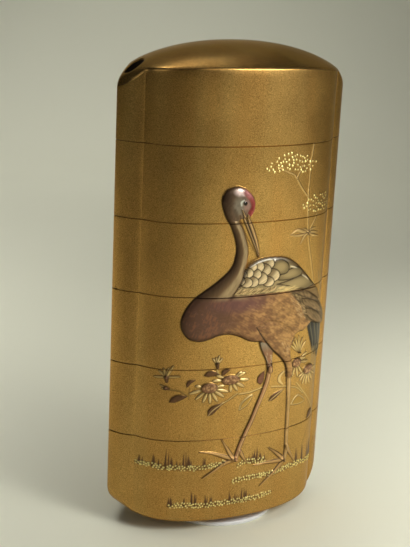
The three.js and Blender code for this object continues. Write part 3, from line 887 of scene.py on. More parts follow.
def plumage(x, z, signed):
    """Body colour: dark breast, copper middle and golden rump, mottled, darkest at the edge."""
    base = blend(BREAST, COPPER, smooth(-8.5, 1, x - 0.3 * (z - 45)))
    base = blend(base, GOLDEN, 0.9 * smooth(0, 9, x))
    strands = np.where(x < -4, fur(x, z, 70, 4), fur(x, z, -30, 5))
    patches = cloud(x, z, 1.2, 3) * 0.4 + cloud(x, z, 0.4, 6) * 0.25 + strands * 0.35
    fleck = blend(srgb(146, 98, 68), srgb(206, 158, 98), smooth(-8, 5, x))
    base = blend(base, srgb(106, 74, 54), 0.6 * smooth(0.5, 0.68, patches))
    base = blend(base, fleck, 0.6 * smooth(0.48, 0.3, patches))
    purple = smooth(1.3, 0.3, np.hypot((x + 2.2) / 6.5, (z - 48.6) / 2.2))
    base = blend(base, srgb(112, 76, 74), 0.75 * purple)
    rim = smooth(1.2, 0.2, signed) * smooth(6, -4, x)
    return blend(base, srgb(70, 50, 36), 0.5 * rim)


def neck_tint(x, z, signed):
    """Plumage below the joint, and on the neck a dark nape beside a pale stripe."""
    spots = np.c_[x, z]
    left = distance_to(spots, spline(FRONT_LINE[:14]))[0]
    right = distance_to(spots, spline(NECK_RIGHT))[0]
    share = left / np.maximum(left + right, 1e-6)
    nape = blend(srgb(84, 63, 44), srgb(122, 96, 68), smooth(0.1, 0.55, share))
    band = smooth(0.42, 0.6, share) * smooth(0.96, 0.84, share)
    streak = 0.8 + 0.4 * cloud(share * 9, z * 0.9, 1.0, 7)
    neck = blend(nape, srgb(174, 150, 110) * streak[:, None], 0.75 * band)
    neck = blend(neck, INK, 0.8 * smooth(0.92, 0.99, share))
    neck = neck * (0.88 + 0.24 * fur(x, z, 75, 8))[:, None]
    above = smooth(48.8, 50.6, z) * smooth(0.5, -2.5, x - 0.4 * (z - 50))
    return blend(plumage(x, z, signed), neck, above)


def hairs(canvas, seed, count, region, heading, length, tint, width, opaque, rise=0.03):
    """Fine hair strokes scattered in a quadrilateral region, pointing along heading degrees."""
    rng = np.random.default_rng(seed)
    a, b, c, d = (np.array(p, float) for p in region)
    for _ in range(count):
        s, t, turn, size = rng.random(4)
        start = (a * (1 - s) + b * s) * (1 - t) + (d * (1 - s) + c * s) * t
        angle = math.radians(heading + 16 * (turn - 0.5))
        reach = length * (0.6 + 0.7 * size)
        way = np.array([math.cos(angle), math.sin(angle)])
        bow = np.array([-way[1], way[0]]) * reach * 0.08
        path = [start, start + way * reach / 2 + bow, start + way * reach]
        canvas.stroke(path, [width * 0.6, width, 0.01], tint, rise, opaque=opaque)


def crane_tail(canvas):
    """Blue-black tail plumes that run down beside the crease and fade out."""
    rng = np.random.default_rng(11)
    shades = [TAIL_BLACK, srgb(62, 62, 56), srgb(104, 98, 78), TAIL_BLACK]
    for number, x in enumerate(np.linspace(14.0, 19.7, 17)):
        drop = 36.5 - 0.5 * (x - 14) - 1.2 * rng.random()
        lean = 2.2 * (20.3 - x) / 6
        path = [(x, 43.6), (x + 0.4 * lean, 40.6), (x + 0.8 * lean, 38.0), (x + lean, drop)]
        canvas.stroke(path, [0.2, 0.3, 0.26, 0.06], shades[number % 4], 0.2, metal=0.4)
    for x, low in zip(np.linspace(16.6, 20.0, 8), (30, 26, 33, 22, 27, 20, 24, 17)):
        path = [(x, 36.5), (x + 0.15, (36.5 + low) / 2), (x + 0.1, low)]
        shade = srgb(86, 72, 44) if low % 2 else srgb(138, 124, 92)
        canvas.stroke(path, [0.14, 0.13, 0.03], shade, 0.04, opaque=0.65, soft=0.1)


def leg(canvas, path, widths, shade):
    """A leg with dark outlines, a lit centre and faint scutes."""

    def tint(share, across):
        bands = 0.9 + 0.2 * cloud(share * 60, across * 0 + 3, 1.0, 21)
        return shade * bands[:, None]

    canvas.outlined(path, widths, tint, INK, 0.15, 0.32, metal=0.55)
    inner = [(x + 0.1, z) for x, z in path]
    canvas.stroke(inner, [w * 0.32 for w in widths], srgb(214, 178, 124), 0.03, opaque=0.65)


def toe(canvas, path, width=0.34):
    """A toe that tapers to a claw."""
    canvas.stroke(path, [width + 0.14, width + 0.12, 0.26, 0.12], INK, 0.26)
    canvas.stroke(path, [width, width * 0.85, 0.17, 0.05], srgb(192, 150, 92), 0.06)


def crane_legs(canvas):
    far = [
        (5.2, 34.4), (4.9, 31.9), (4.1, 29.5), (2.9, 26.6), (1.8, 23.8), (0.6, 21.2),
        (-0.6, 18.3), (-1.3, 15.8),
    ]
    near = [
        (10.0, 33.6), (10.2, 31.0), (10.4, 26.6), (10.5, 22.2), (10.6, 17.7), (10.7, 15.5),
        (10.4, 13.4),
    ]
    for path in (
        [(-1.5, 15.6), (-3.8, 16.5), (-6.5, 17.5), (-9.0, 17.9)],
        [(-2.0, 16.1), (-2.9, 17.5), (-3.8, 19.0), (-4.6, 20.3)],
        [(-1.3, 15.6), (-3.7, 15.0), (-6.1, 13.5), (-8.1, 12.2)],
        [(-0.4, 17.2), (0.3, 15.9), (0.8, 15.1), (1.2, 14.5)],
    ):
        toe(canvas, path)
    leg(canvas, far, [0.44, 0.46, 0.41, 0.38, 0.37, 0.37, 0.38, 0.4], srgb(168, 122, 82))
    for path in (
        [(10.1, 13.4), (7.2, 13.6), (4.8, 13.7), (2.9, 13.6)],
        [(9.8, 13.9), (8.6, 15.0), (7.4, 16.0), (6.2, 16.9)],
        [(10.1, 13.2), (8.4, 11.6), (6.5, 10.2), (4.6, 8.8)],
        [(10.6, 16.4), (11.6, 14.8), (12.5, 13.4), (13.2, 12.3)],
    ):
        toe(canvas, path)
    leg(canvas, near, [0.62, 0.5, 0.36, 0.34, 0.34, 0.36, 0.4], srgb(178, 140, 84))


def crane_thighs(canvas):
    """The far thigh in grey and brown, tucked behind the body."""

    def tint(x, z, signed):
        grey = blend(srgb(146, 132, 108), srgb(150, 108, 76), smooth(40.0, 37.4, z))
        return grey * (0.82 + 0.36 * cloud(x * 2, z * 0.8, 0.5, 31))[:, None]

    canvas.area(closed_spline(FAR_THIGH), tint, 0.42, 0.8, 0.5, line=(INK, 0.22))
    front = [(3.2, 38.4), (5.2, 38.0), (5.4, 35.0), (4.8, 34.6)]
    hairs(canvas, 32, 16, front, -65, 0.9, CREAM, 0.05, 0.7)


BODY_HAIRS = [  # seed, count, region, heading, length, tint, half width, opacity
    (41, 26, [(-5.4, 42.6), (2.2, 40.9), (1.2, 42.6), (-4.6, 43.6)], 148, 1.0, GOLDEN, 0.05, 0.75),
    (42, 18, [(6.6, 38.6), (9.4, 35.6), (10.0, 38.0), (8.6, 39.8)], 118, 0.8, DOWN, 0.04, 0.7),
    (43, 24, [(8.6, 48.7), (14.4, 43.2), (15.0, 45.6), (11.0, 49.0)], -38, 1.0, CREAM, 0.045, 0.75),
    (44, 60, [(-2.0, 48.8), (8.0, 48.6), (9.0, 42.6), (1.0, 43.0)], -28, 0.8, AMBER, 0.04, 0.35),
    (45, 60, [(-12.2, 47.4), (-4.0, 48.6), (-1.0, 43.6), (-11.6, 43.0)], -24, 0.8, DUSK, 0.04, 0.4),
]


def crane_body(canvas):
    """Breast, back, rump and near thigh, with the neck above the joint in the same area."""
    loop = np.vstack([spline(FRONT_LINE), spline(REAR_LINE)])
    canvas.area(loop, neck_tint, 0.85, 2.6, 0.2, metal=0.6, rough=0.44)
    thigh = closed_spline(NEAR_THIGH)
    canvas.area(thigh, plumage, 0.86, 2.4, 0.55, 0.25, metal=0.6, rough=0.44)
    canvas.stroke(FRONT_LINE, [0.1, 0.12, 0.12, 0.12, 0.16, 0.16, 0.13, 0.12], INK, opaque=0.9)
    canvas.stroke(REAR_LINE[1:5], [0.16, 0.2, 0.2, 0.14], INK, 0.03)
    front = [
        (1.3, 43.5), (2.2, 42.1), (3.4, 40.5), (5.4, 38.2), (7.7, 36.1), (9.0, 34.2), (9.4, 31.8),
    ]
    canvas.stroke(front, [0.08, 0.15, 0.16, 0.14, 0.13, 0.12, 0.1], INK)
    rear = [(10.0, 38.2), (9.9, 37.0), (10.2, 35.4), (10.8, 33.6), (11.1, 31.8)]
    canvas.stroke(rear, [0.08, 0.1, 0.12, 0.12, 0.1], INK)
    for row in BODY_HAIRS:
        hairs(canvas, *row)


def crane_tertials(canvas):
    """Drooping brown feathers over the rump, with pale hair strokes along their roots."""

    def strands(tint):
        return lambda x, z, signed: tint * (0.45 + 1.05 * fur(x, z, -42, 50))[:, None]

    field = closed_spline(TERTIAL_FIELD)
    canvas.area(field, strands(srgb(108, 88, 60)), 0.86, 1.6, 0.6, 0.14, metal=0.55)
    for outline in TERTIALS:
        loop = closed_spline(outline)
        brown = strands(srgb(126, 102, 70))
        canvas.area(loop, brown, 0.95, 0.6, 0.85, line=(INK, 0.14), metal=0.55)
    roots = [(8.0, 49.4), (10.6, 49.2), (13.6, 44.2), (11.4, 43.6)]
    hairs(canvas, 55, 60, roots, -40, 0.8, srgb(214, 180, 128), 0.04, 0.75)


def feather(canvas, outline, height, tint):
    """A long wing feather: olive, gold in its middle, with fine barbs and a dark outline."""
    loop = closed_spline(outline)
    low, high = loop.min(0), loop.max(0)
    middle = (low + high) / 2
    reach = (high - low) / 2

    def barbs(x, z, signed):
        comb = 0.5 + 0.5 * np.sin((0.75 * x - 0.9 * z) * 2 * math.pi / 0.4)
        centre = smooth(1.0, 0.2, np.hypot(*((np.c_[x, z] - middle) / reach).T))
        shade = blend(tint * 0.75, tint * 1.5, centre)
        return shade * (0.86 + 0.24 * comb)[:, None]

    canvas.area(loop, barbs, height, 0.7, 0.84, line=(INK, 0.19), metal=0.65, rough=0.36)


COVERT_TILT = -18.0
COVERT_SWELL = 1.12     # each one's half height over the one in the list, so that they overlap
COVERT_STRETCH = 1.35   # its width over its half height


def covert(canvas, edge_x, z, half, height):
    """A scale-like feather whose rounded free edge points right and a little down."""
    turn = np.linspace(-math.pi / 2, math.pi / 2, 11)
    half = COVERT_SWELL * half
    width = COVERT_STRETCH * half
    along = np.r_[width * np.cos(turn), -0.6 * half, -1.2 * half, -0.6 * half]
    across = np.r_[half * np.sin(turn), 0.95 * half, 0, -0.95 * half]
    tilt = math.radians(COVERT_TILT)
    right = np.array([math.cos(tilt), math.sin(tilt)])
    over = np.array([-right[1], right[0]])
    root = np.array([edge_x, z]) - right * width
    loop = root + along[:, None] * right + across[:, None] * over

    def tint(px, pz, signed):
        way = ((np.c_[px, pz] - root) @ right) / width
        side = ((np.c_[px, pz] - root) @ over) / half
        shade = blend(srgb(138, 116, 84), srgb(220, 196, 152), smooth(-0.2, 0.6, way - 0.3 * side))
        return shade * (0.72 + 0.5 * fur(px, pz, 30, 66))[:, None]

    canvas.area(loop, tint, height, 0.5, 0.94, line=(INK, 0.19), metal=0.65, rough=0.4)


def neck_loop():
    return np.vstack([spline(FRONT_LINE[:11]), spline(NECK_RIGHT[::-1])])


def crane_wing(canvas):
    def tint(x, z, signed):
        base = blend(srgb(158, 138, 98), srgb(126, 100, 64), smooth(5, 13, x))
        base = base * (0.84 + 0.3 * cloud(x * 0.7 + z, z * 2, 0.5, 62))[:, None]
        glint = smooth(0.75, 0.25, signed) * smooth(52, 55, z) * smooth(8.5, 4.5, x)
        return blend(base, GLINT, glint)

    def foot(x, z):
        return 0.2 + 0.7 * smooth(53.5, 50.6, z)

    loop = closed_spline(WING)
    canvas.area(loop, tint, 0.98, 1.2, foot, line=(BROWN_INK_AND_SHADOW, 0.12), metal=0.6, rough=0.36)
    for number, outline in enumerate(LONG_FEATHERS):
        feather(canvas, outline, 1.0 + 0.04 * number, srgb(140, 121, 84))
    canvas.shield(loop, neck_loop())
    for number, (x, z, half) in enumerate(sorted(COVERTS, reverse=True)):
        covert(canvas, x, z, half, 1.02 + 0.008 * number)
    below = [(-3.2, 51.6), (5.4, 51.5), (4.4, 51.0), (-3.6, 50.8)]
    hairs(canvas, 61, 110, below, 212, 1.1, srgb(228, 194, 134), 0.06, 0.9)
    hairs(canvas, 62, 80, below, 212, 0.9, BROWN_INK_AND_SHADOW, 0.04, 0.75, 0.0)
    canvas.shield()
    strands = [(4.6, 51.3), (9.4, 50.6), (9.0, 50.1), (4.0, 50.2)]
    hairs(canvas, 63, 34, strands, 2, 1.8, srgb(226, 196, 132), 0.05, 0.8)
    crest = [(-1.0, 55.8), (0.6, 56.6), (2.2, 57.0), (3.6, 57.1), (5.0, 57.0)]
    canvas.stroke(crest, [0.04, 0.1, 0.15, 0.14, 0.05], GLINT, 0.02, opaque=0.8)
    for path in ([(8.1, 55.2), (9.6, 54.7)], [(11.2, 53.0), (12.0, 52.5), (12.8, 51.8)]):
        canvas.stroke(path, [0.1, 0.14, 0.04], srgb(244, 228, 186), 0.04)


def crane_head(canvas):
    def tint(x, z, signed):
        shade = blend(srgb(72, 52, 38), srgb(112, 90, 70), smooth(-6.4, -4.0, x))
        cheek = smooth(1.7, 0.5, np.hypot((x + 3.7) / 1.0, (z - 67.9) / 1.5))
        shade = blend(shade, srgb(142, 134, 116), 0.65 * cheek)
        # Painted highlight: a pinkish white patch on the top of the head.
        top = smooth(1.4, 0.3, np.hypot((x + 3.5) / 1.25, (z - 70.4) / 0.75))
        shade = blend(shade, srgb(250, 222, 210), 0.9 * top)
        face = smooth(1.1, 0.4, np.hypot((x + 2.2) / 0.9, (z - 67.9) / 1.3))
        shade = blend(shade, srgb(170, 132, 118), 0.75 * face)
        return shade * (0.84 + 0.3 * cloud(x * 2.4, z * 1.2, 0.5, 71))[:, None]

    canvas.area(closed_spline(HEAD), tint, 0.95, 2.2, 0.4, metal=0.45, rough=0.36)
    nape = [(-5.5, 64.6), (-6.2, 65.9), (-6.9, 68.4), (-6.2, 70.6), (-4.6, 71.35)]
    canvas.stroke(nape, [0.12, 0.14, 0.1, 0.08, 0.03], INK, opaque=0.9)

    def red(x, z, signed):
        # The cap's own red, made lighter towards the top as part of the painted highlight there.
        warm = blend(srgb(150, 60, 58), srgb(200, 132, 130), smooth(68.4, 70.6, z))
        return warm * (0.8 + 0.4 * cloud(x, z, 0.3, 72))[:, None]

    canvas.area(closed_spline(CROWN), red, 0.92, 0.6, 0.6, 0.25, metal=0.2, rough=0.36)
    jaw = [(-4.6, 67.0), (-4.1, 65.8), (-3.7, 64.6)]
    canvas.stroke(jaw, [0.3, 0.34, 0.1], srgb(70, 54, 40), opaque=0.55, soft=0.25)
    crane_bill(canvas)
    rim = [(-3.35, 67.9), (-3.4, 68.5), (-2.9, 68.9)]
    canvas.stroke(rim, [0.12, 0.2, 0.1], srgb(214, 212, 196), 0.02, soft=0.12)
    canvas.stroke([(-2.62, 68.35), (-2.56, 68.25)], [0.36, 0.36], srgb(12, 10, 10), 0.1, rough=0.15)
    # Painted highlight: a small light dot in the black of the eye.
    canvas.stroke([(-2.72, 68.5), (-2.7, 68.52)], [0.07, 0.07], srgb(200, 196, 186), 0.02)


def crane_bill(canvas):
    """Two slender mandibles, slightly parted, with dark outlines that start inside the face."""
    lower = [(-3.2, 67.1), (-2.0, 64.6), (-0.8, 62.0), (0.3, 59.5), (1.05, 57.6)]
    upper = [(-1.9, 66.1), (-1.1, 64.3), (0.0, 61.7), (0.7, 59.7), (1.2, 57.6)]
    gap = [(-2.6, 66.3), (-1.7, 64.3), (-0.7, 62.1), (0.3, 59.9), (1.0, 58.2)]
    shadow = [(-3.5, 66.0), (-2.6, 63.6), (-1.4, 61.3), (-0.2, 59.3), (0.8, 57.6)]
    canvas.stroke(shadow, [0.14, 0.2, 0.16, 0.12, 0.05], srgb(92, 66, 36), opaque=0.8)
    canvas.stroke(lower, [0.12, 0.34, 0.3, 0.24, 0.12], INK, 0.26)
    canvas.stroke(upper, [0.14, 0.42, 0.4, 0.32, 0.14], INK, 0.3)
    canvas.stroke(lower, [0.05, 0.17, 0.13, 0.09, 0.04], srgb(206, 168, 116), 0.06)
    canvas.stroke(upper, [0.06, 0.25, 0.24, 0.18, 0.05], srgb(206, 164, 108), 0.08)
    canvas.stroke(gap, [0.06, 0.09, 0.09, 0.07, 0.03], INK)


def draw_crane(canvas):
    crane_tail(canvas)
    crane_thighs(canvas)
    crane_legs(canvas)
    crane_body(canvas)
    crane_tertials(canvas)
    crane_wing(canvas)
    crane_head(canvas)


# ---- Flowers and grasses ---------------------------------------------------------------------

BACK_SHIFT = -14.0      # of the patrinia on the back, seen from behind
DOT_GAP = 0.55          # least distance between the dots of a flower cluster
BAND_HEIGHT = 1.05      # of the bands of dots on the ground
BAND_GAP = 0.4
HIGH_CLUSTER = [
    (1.8, 74.2), (2.2, 75.3), (3.6, 76.2), (6.2, 77.4), (7.9, 77.3), (11.4, 76.5), (13.7, 75.3),
    (12.5, 74.1), (11.8, 73.2), (10.2, 73.1), (9.4, 73.9), (7.5, 73.9), (4.9, 73.6), (3.6, 73.7),
]
LOW_CLUSTER = [
    (10.3, 66.2), (11.0, 67.5), (12.5, 68.1), (13.6, 68.6), (15.4, 68.8), (17.6, 68.6),
    (19.1, 67.0), (18.8, 65.2), (16.1, 65.2), (14.5, 65.1), (12.8, 65.5), (11.7, 65.9),
]
GROUND_LINES = [  # each band's line and its count of dots
    ([(-20.0, 14.7), (-18.0, 15.0), (-16.3, 14.6), (-12.7, 14.6), (-8.8, 14.4), (-5.8, 14.8),
     (-3.5, 15.4)], 130),
    ([(-0.8, 14.2), (0.7, 14.8), (3.1, 14.5), (5.7, 14.4)], 45),
    ([(-1.7, 10.8), (1.0, 11.1), (4.5, 11.1), (8.2, 11.0), (12.1, 11.5), (15.2, 11.4),
     (19.2, 10.7)], 160),
    ([(-14.5, 6.2), (-12.4, 6.5), (-8.4, 6.1), (-4.3, 6.3), (0.1, 6.3), (3.6, 6.3), (7.7, 6.8)],
     170),
]


def petal(canvas, base, tip, half, tint=PALE):
    """A slender petal with a dark surround and, down its middle, a faint line of painted shade that
    stands for a groove.
    """
    base, tip = np.array(base), np.array(tip)
    widths = [half * 0.45, half * 0.95, half, half * 0.45]
    path = base + np.linspace(0, 1, 4)[:, None] * (tip - base)
    canvas.stroke(path, [w + 0.15 for w in widths], BROWN_INK_AND_SHADOW, 0.03, opaque=0.75)
    canvas.stroke(path, widths, tint, 0.16, metal=0.75, rough=0.32)
    # Painted shade of a groove: a darker line only, the relief isn't cut.
    canvas.stroke(path[:3], [0.04, 0.03], srgb(170, 134, 80), soft=0.04, opaque=0.6)


def aster(canvas, centre, radii, tips, half):
    """An aster seen from above at a slant: petals round a copper disc."""
    centre, radii = np.array(centre), np.array(radii)
    for tip in tips:
        way = (np.array(tip) - centre) / radii
        base = centre + radii * way / np.linalg.norm(way)
        petal(canvas, base, tip, half)
    turn = np.linspace(0, 2 * math.pi, 24, endpoint=False)
    loop = centre + radii * np.c_[np.cos(turn), np.sin(turn)]

    def tint(x, z, signed):
        grain = cloud(x, z, 0.24, 81)
        return blend(DISC_COPPER * 0.8, srgb(196, 152, 104), smooth(0.45, 0.85, grain))

    canvas.area(loop, tint, 0.42, 0.7, 0.45, line=(BROWN_INK_AND_SHADOW, 0.14), metal=0.5, rough=0.42)


def side_aster(canvas, base, tips, calyx, half, tint):
    """An aster or bud seen from the side: a fan of petals over a dark calyx."""
    for tip in tips:
        petal(canvas, base, tip, half, tint)
    if calyx is not None:
        canvas.stroke([base, calyx], [0.5, 0.3], BROWN_INK_AND_SHADOW, 0.12, soft=0.12)
        canvas.stroke([base, calyx], [0.25, 0.1], LEAF_BROWN, 0.06, soft=0.1)


def leaf(canvas, path, half, tint, rib):
    """A lobed leaf on its midline, with an optional gold rib."""
    loop = ribbon(path, [0.04, half * 0.9, half, half * 0.7, 0.05])

    def shade(x, z, signed):
        mottle = 0.8 + 0.4 * cloud(x, z, 0.35, 91)
        return tint * mottle[:, None]

    canvas.area(loop, shade, 0.2, 0.5, 0.55, line=(BROWN_INK_AND_SHADOW, 0.13), metal=0.55, rough=0.4)
    if rib is not None:
        canvas.stroke(path, [0.03, 0.09, 0.07], rib, 0.05, opaque=0.9)


def gold_leaf(canvas, loop):
    """A leaf drawn only as a raised gold outline over the ground, with a painted shadow below the
    outline.
    """
    loop = closed_spline(loop)
    canvas.area(loop, GROUND_TINT * 1.1, 0.16, 0.4, 0.6, metal=0.85)
    # Painted shadow: the outline again in dark brown, a little right of it and below.
    canvas.stroke(loop[::4] + (0.04, -0.1), [0.16], BROWN_INK_AND_SHADOW, opaque=0.8)
    canvas.stroke(loop[::4], [0.1], PALE, 0.06)


def stem(canvas, path, half=0.12, tint=srgb(216, 184, 118), rise=0.1):
    """A fine raised gold stem with a painted shadow along its lower side."""
    # Painted shadow: a dark copy of the stem, a little right of it and below.
    below = [(x + 0.05, z - 0.14) for x, z in path]
    canvas.stroke(below, [half + 0.03], BROWN_INK_AND_SHADOW, opaque=0.75)
    canvas.stroke(path, [half, half, half * 0.8], tint, rise, metal=0.8, rough=0.34)


ASTER_STEMS = [
    [(-1.3, 29.6), (0.9, 29.7), (2.7, 30.1), (3.8, 30.4)],
    [(-5.0, 27.8), (-3.4, 28.7), (-1.7, 29.8)],
    [(-5.9, 34.3), (-6.2, 35.2), (-6.2, 36.0)],
    [(6.0, 30.2), (8.0, 29.9), (9.8, 29.6)],
    [(11.1, 29.2), (12.6, 28.7), (14.5, 27.1)],
    [(12.5, 29.8), (14.8, 27.2), (16.8, 24.8), (18.8, 21.3)],
]
LEAVES = [  # midline, half width, colour, colour of the rib
    ([(-8.8, 34.0), (-7.2, 34.4), (-5.6, 34.0)], 0.62, LEAF_BROWN, None),
    ([(-5.2, 33.8), (-4.6, 34.6), (-3.4, 35.0)], 0.5, LEAF_BROWN, None),
    ([(-12.0, 31.6), (-11.5, 32.7), (-10.3, 33.2)], 0.42, LEAF_BROWN * 0.85, None),
    ([(-15.1, 28.5), (-13.6, 29.4), (-11.8, 29.8)], 0.68, LEAF_BROWN * 0.8, None),
    ([(-7.7, 25.5), (-6.6, 26.8), (-4.6, 28.1)], 0.72, LEAF_BROWN, PALE),
    ([(3.4, 31.0), (3.3, 32.3), (4.1, 33.9)], 0.78, srgb(120, 80, 60), None),
    ([(5.5, 27.1), (7.0, 28.1), (9.0, 29.1)], 0.6, LEAF_BROWN, PALE),
    ([(18.3, 22.3), (17.3, 21.6), (16.4, 20.6)], 0.7, LEAF_BROWN * 0.75, None),
]
GOLD_LEAVES = [
    [(-1.1, 26.2), (-0.8, 27.4), (0.2, 28.4), (1.6, 29.1), (1.0, 27.7), (0.1, 26.8)],
    [(11.3, 25.3), (12.1, 26.4), (13.3, 26.9), (15.2, 25.3), (13.3, 25.0)],
]
LEFT_BUDS = [  # base, petal tips, end of the calyx, half width of a petal, colour
    ((-15.7, 33.7), [(-17.6, 33.6), (-16.9, 34.9), (-16.2, 35.4), (-15.4, 35.5), (-14.6, 36.0),
     (-13.4, 33.9)], (-15.6, 32.8), 0.2, srgb(190, 160, 98)),
    ((-15.7, 31.4), [(-16.6, 32.0), (-16.4, 31.3)], (-15.3, 31.3), 0.14, srgb(180, 150, 92)),
    ((-6.2, 36.3), [(-7.1, 37.4), (-6.5, 37.6), (-5.9, 37.9), (-5.3, 37.3)], (-6.1, 35.5), 0.18,
     PALE),
]
RIGHT_BUD = (
    (12.6, 36.3),
    [(10.3, 38.2), (10.4, 39.3), (11.3, 39.6), (12.2, 39.8), (13.3, 39.2), (14.3, 38.3)],
    None, 0.2, srgb(222, 188, 118),
)
LEFT_ASTERS = [  # middle, half sizes of the disc, petal tips, half width of a petal
    ((-3.3, 32.8), (1.95, 1.0), [(-6.9, 32.8), (-6.2, 33.9), (-1.0, 34.2), (-0.3, 34.0),
     (0.5, 32.5), (-0.4, 31.1), (-1.8, 30.5), (-3.2, 30.4)], 0.27),
    ((-7.6, 31.4), (1.7, 1.1), [(-10.2, 31.9), (-11.3, 30.4), (-10.1, 29.2), (-8.7, 28.6),
     (-7.3, 28.3), (-5.9, 28.6), (-4.6, 29.4), (-3.8, 30.4), (-4.6, 31.7)], 0.27),
]
RIGHT_ASTERS = [
    ((12.0, 34.2), (1.25, 1.0), [(10.6, 32.9), (11.2, 31.5), (12.6, 31.2), (13.9, 31.6),
     (14.4, 34.9), (15.2, 33.9), (14.8, 35.8)], 0.24),
    ((15.6, 32.0), (1.5, 1.05), [(13.0, 30.9), (13.4, 30.0), (14.2, 29.2), (15.3, 28.8),
     (16.4, 28.7), (17.4, 29.1), (18.2, 30.1), (18.5, 31.6)], 0.22),
]


def aster_leaves(canvas):
    """Stems and leaves on both sides of the crane's legs."""
    for path in ASTER_STEMS:
        stem(canvas, path)
    dim = srgb(150, 122, 66)
    stem(canvas, [(-15.1, 31.2), (-13.3, 30.9), (-11.8, 30.0)], 0.1, dim, 0.06)
    stem(canvas, [(-11.5, 29.3), (-11.6, 30.6), (-11.4, 31.6)], 0.08, dim, 0.05)
    for row in LEAVES:
        leaf(canvas, *row)
    for loop in GOLD_LEAVES:
        gold_leaf(canvas, loop)


def draw_asters(canvas):
    """The aster sprays, and a leaf half hidden behind the near leg."""
    aster_leaves(canvas)
    for row in LEFT_BUDS:
        side_aster(canvas, *row)
    for row in LEFT_ASTERS:
        aster(canvas, *row)
    side_aster(canvas, *RIGHT_BUD)
    for row in RIGHT_ASTERS:
        aster(canvas, *row)
    blade = [(8.9, 32.9), (8.0, 32.2), (7.9, 31.2), (8.8, 30.2)]
    canvas.stroke(blade, [0.2, 0.34, 0.3, 0.12], PALE, 0.1, opaque=0.8)
    edge = [(8.6, 33.0), (7.6, 32.2), (7.5, 31.0), (8.6, 30.0)]
    canvas.stroke(edge, [0.06, 0.1, 0.06], BROWN_INK_AND_SHADOW, opaque=0.7)


def draw_patrinia(canvas, shift=0.0):
    """A tall patrinia: stem, flower branches and a whorl of slender leaves."""

    def moved(path):
        return [(x + shift, z) for x, z in path]

    tan = srgb(208, 172, 108)
    upper = [(12.7, 78.8), (12.4, 76.6), (12.1, 74.7), (12.2, 72.8), (12.1, 69.8)]
    stem(canvas, moved(upper), 0.14, tan)
    stem(canvas, moved([(12.1, 69.8), (12.2, 66.8), (12.4, 64.8), (12.8, 61.2)]), 0.17, tan)
    lower = [(12.8, 61.2), (13.3, 58.6), (14.3, 55.0), (15.3, 51.1), (16.2, 47.6)]
    stem(canvas, moved(lower), 0.14, srgb(196, 160, 98))
    for path in (
        [(11.8, 68.7), (10.3, 70.4), (8.9, 72.3), (8.1, 73.1), (6.4, 73.8), (4.8, 74.5)],
        [(8.9, 72.3), (9.6, 73.6), (10.2, 74.7)],
        [(13.3, 61.9), (14.5, 63.7), (15.0, 64.8)],
    ):
        stem(canvas, moved(path), 0.12, tan)
    for path, half in (
        ([(12.8, 61.2), (11.4, 61.5), (9.9, 61.9), (8.3, 61.2)], 0.32),
        ([(12.8, 61.1), (11.2, 60.9), (9.6, 60.9), (8.1, 61.2)], 0.2),
        ([(12.8, 61.1), (11.8, 60.5), (10.8, 59.0)], 0.26),
        ([(12.8, 61.2), (14.2, 60.5), (15.9, 60.1)], 0.24),
        ([(12.8, 61.3), (14.0, 61.2), (15.6, 60.9)], 0.2),
        ([(12.8, 61.2), (13.6, 61.8), (14.8, 62.0)], 0.14),
        ([(12.8, 61.3), (12.0, 61.9), (11.2, 62.2)], 0.14),
    ):
        canvas.stroke(moved(path), [half + 0.12, half + 0.14, 0.1], BROWN_INK_AND_SHADOW, 0.03, opaque=0.7)
        canvas.stroke(moved(path), [half * 0.5, half, 0.03], srgb(196, 162, 102), 0.1, metal=0.75)


def blades(canvas, seed, tips, base):
    """Dark grass blades that rise from a ground band, three to each tip."""
    rng = np.random.default_rng(seed)
    for x, z in tips:
        for offset in (0.0, 0.5, 0.9):
            push = offset * (rng.random() - 0.3)
            short = 1 - 0.5 * offset * rng.random()
            foot = (x + push - 0.25 * (rng.random() - 0.5), base)
            top = (x + push, base + (z - base) * short)
            canvas.stroke([foot, top], [0.24, 0.03], LEAF_DARK, 0.03, opaque=0.85, metal=0.3)


GRASS = [  # seed, tips of the blades, height of their feet
    (101, [(-19.5, 16.5), (-17.4, 17.2), (-16.5, 16.3), (-15.2, 18.6), (-14.3, 16.9),
     (-13.2, 16.2), (-11.9, 18.2), (-11.1, 17.5), (-10.7, 16.5), (-8.1, 16.7)], 14.6),
    (102, [(1.8, 16.0), (2.6, 16.4), (3.1, 17.1), (3.6, 17.4), (4.4, 16.2), (5.4, 15.6)], 14.6),
    (103, [(-14.5, 8.2), (-14.0, 8.2), (-11.5, 8.2), (-10.2, 9.5), (-9.4, 8.8), (-7.3, 8.4),
     (-6.3, 8.1), (-2.2, 8.7), (-0.9, 8.0), (-0.4, 7.7), (0.6, 9.1), (1.6, 8.5), (2.3, 7.5)], 6.2),
    (104, [(13.9, 15.0), (15.7, 15.5), (17.7, 15.3), (18.8, 16.2), (19.3, 15.0)], 11.6),
]


def draw_ground(canvas):
    """Grass blades, and reeds beside the right crease."""
    for row in GRASS:
        blades(canvas, *row)
    for path in (
        [(17.9, 58.0), (18.2, 55.5), (18.0, 51.4), (18.0, 48.2)],
        [(16.8, 52.4), (17.8, 49.4), (18.6, 46.0)],
    ):
        stem(canvas, path, 0.13, srgb(176, 148, 96), 0.06)
    for path in (
        [(18.6, 21.0), (17.0, 18.0), (15.6, 15.0)],
        [(19.6, 22.0), (19.0, 18.0), (18.6, 13.0)],
    ):
        canvas.stroke(path, [0.04, 0.1, 0.1], srgb(104, 80, 44), 0.02, opaque=0.6, soft=0.12)


def spread_out(tries, count, gap):
    """The first count of the tries that lie more than gap apart."""
    spots = np.zeros((0, 2))
    for spot in tries:
        if len(spots) < count and np.all(np.hypot(*(spots - spot).T) > gap):
            spots = np.vstack([spots, spot])
    return spots


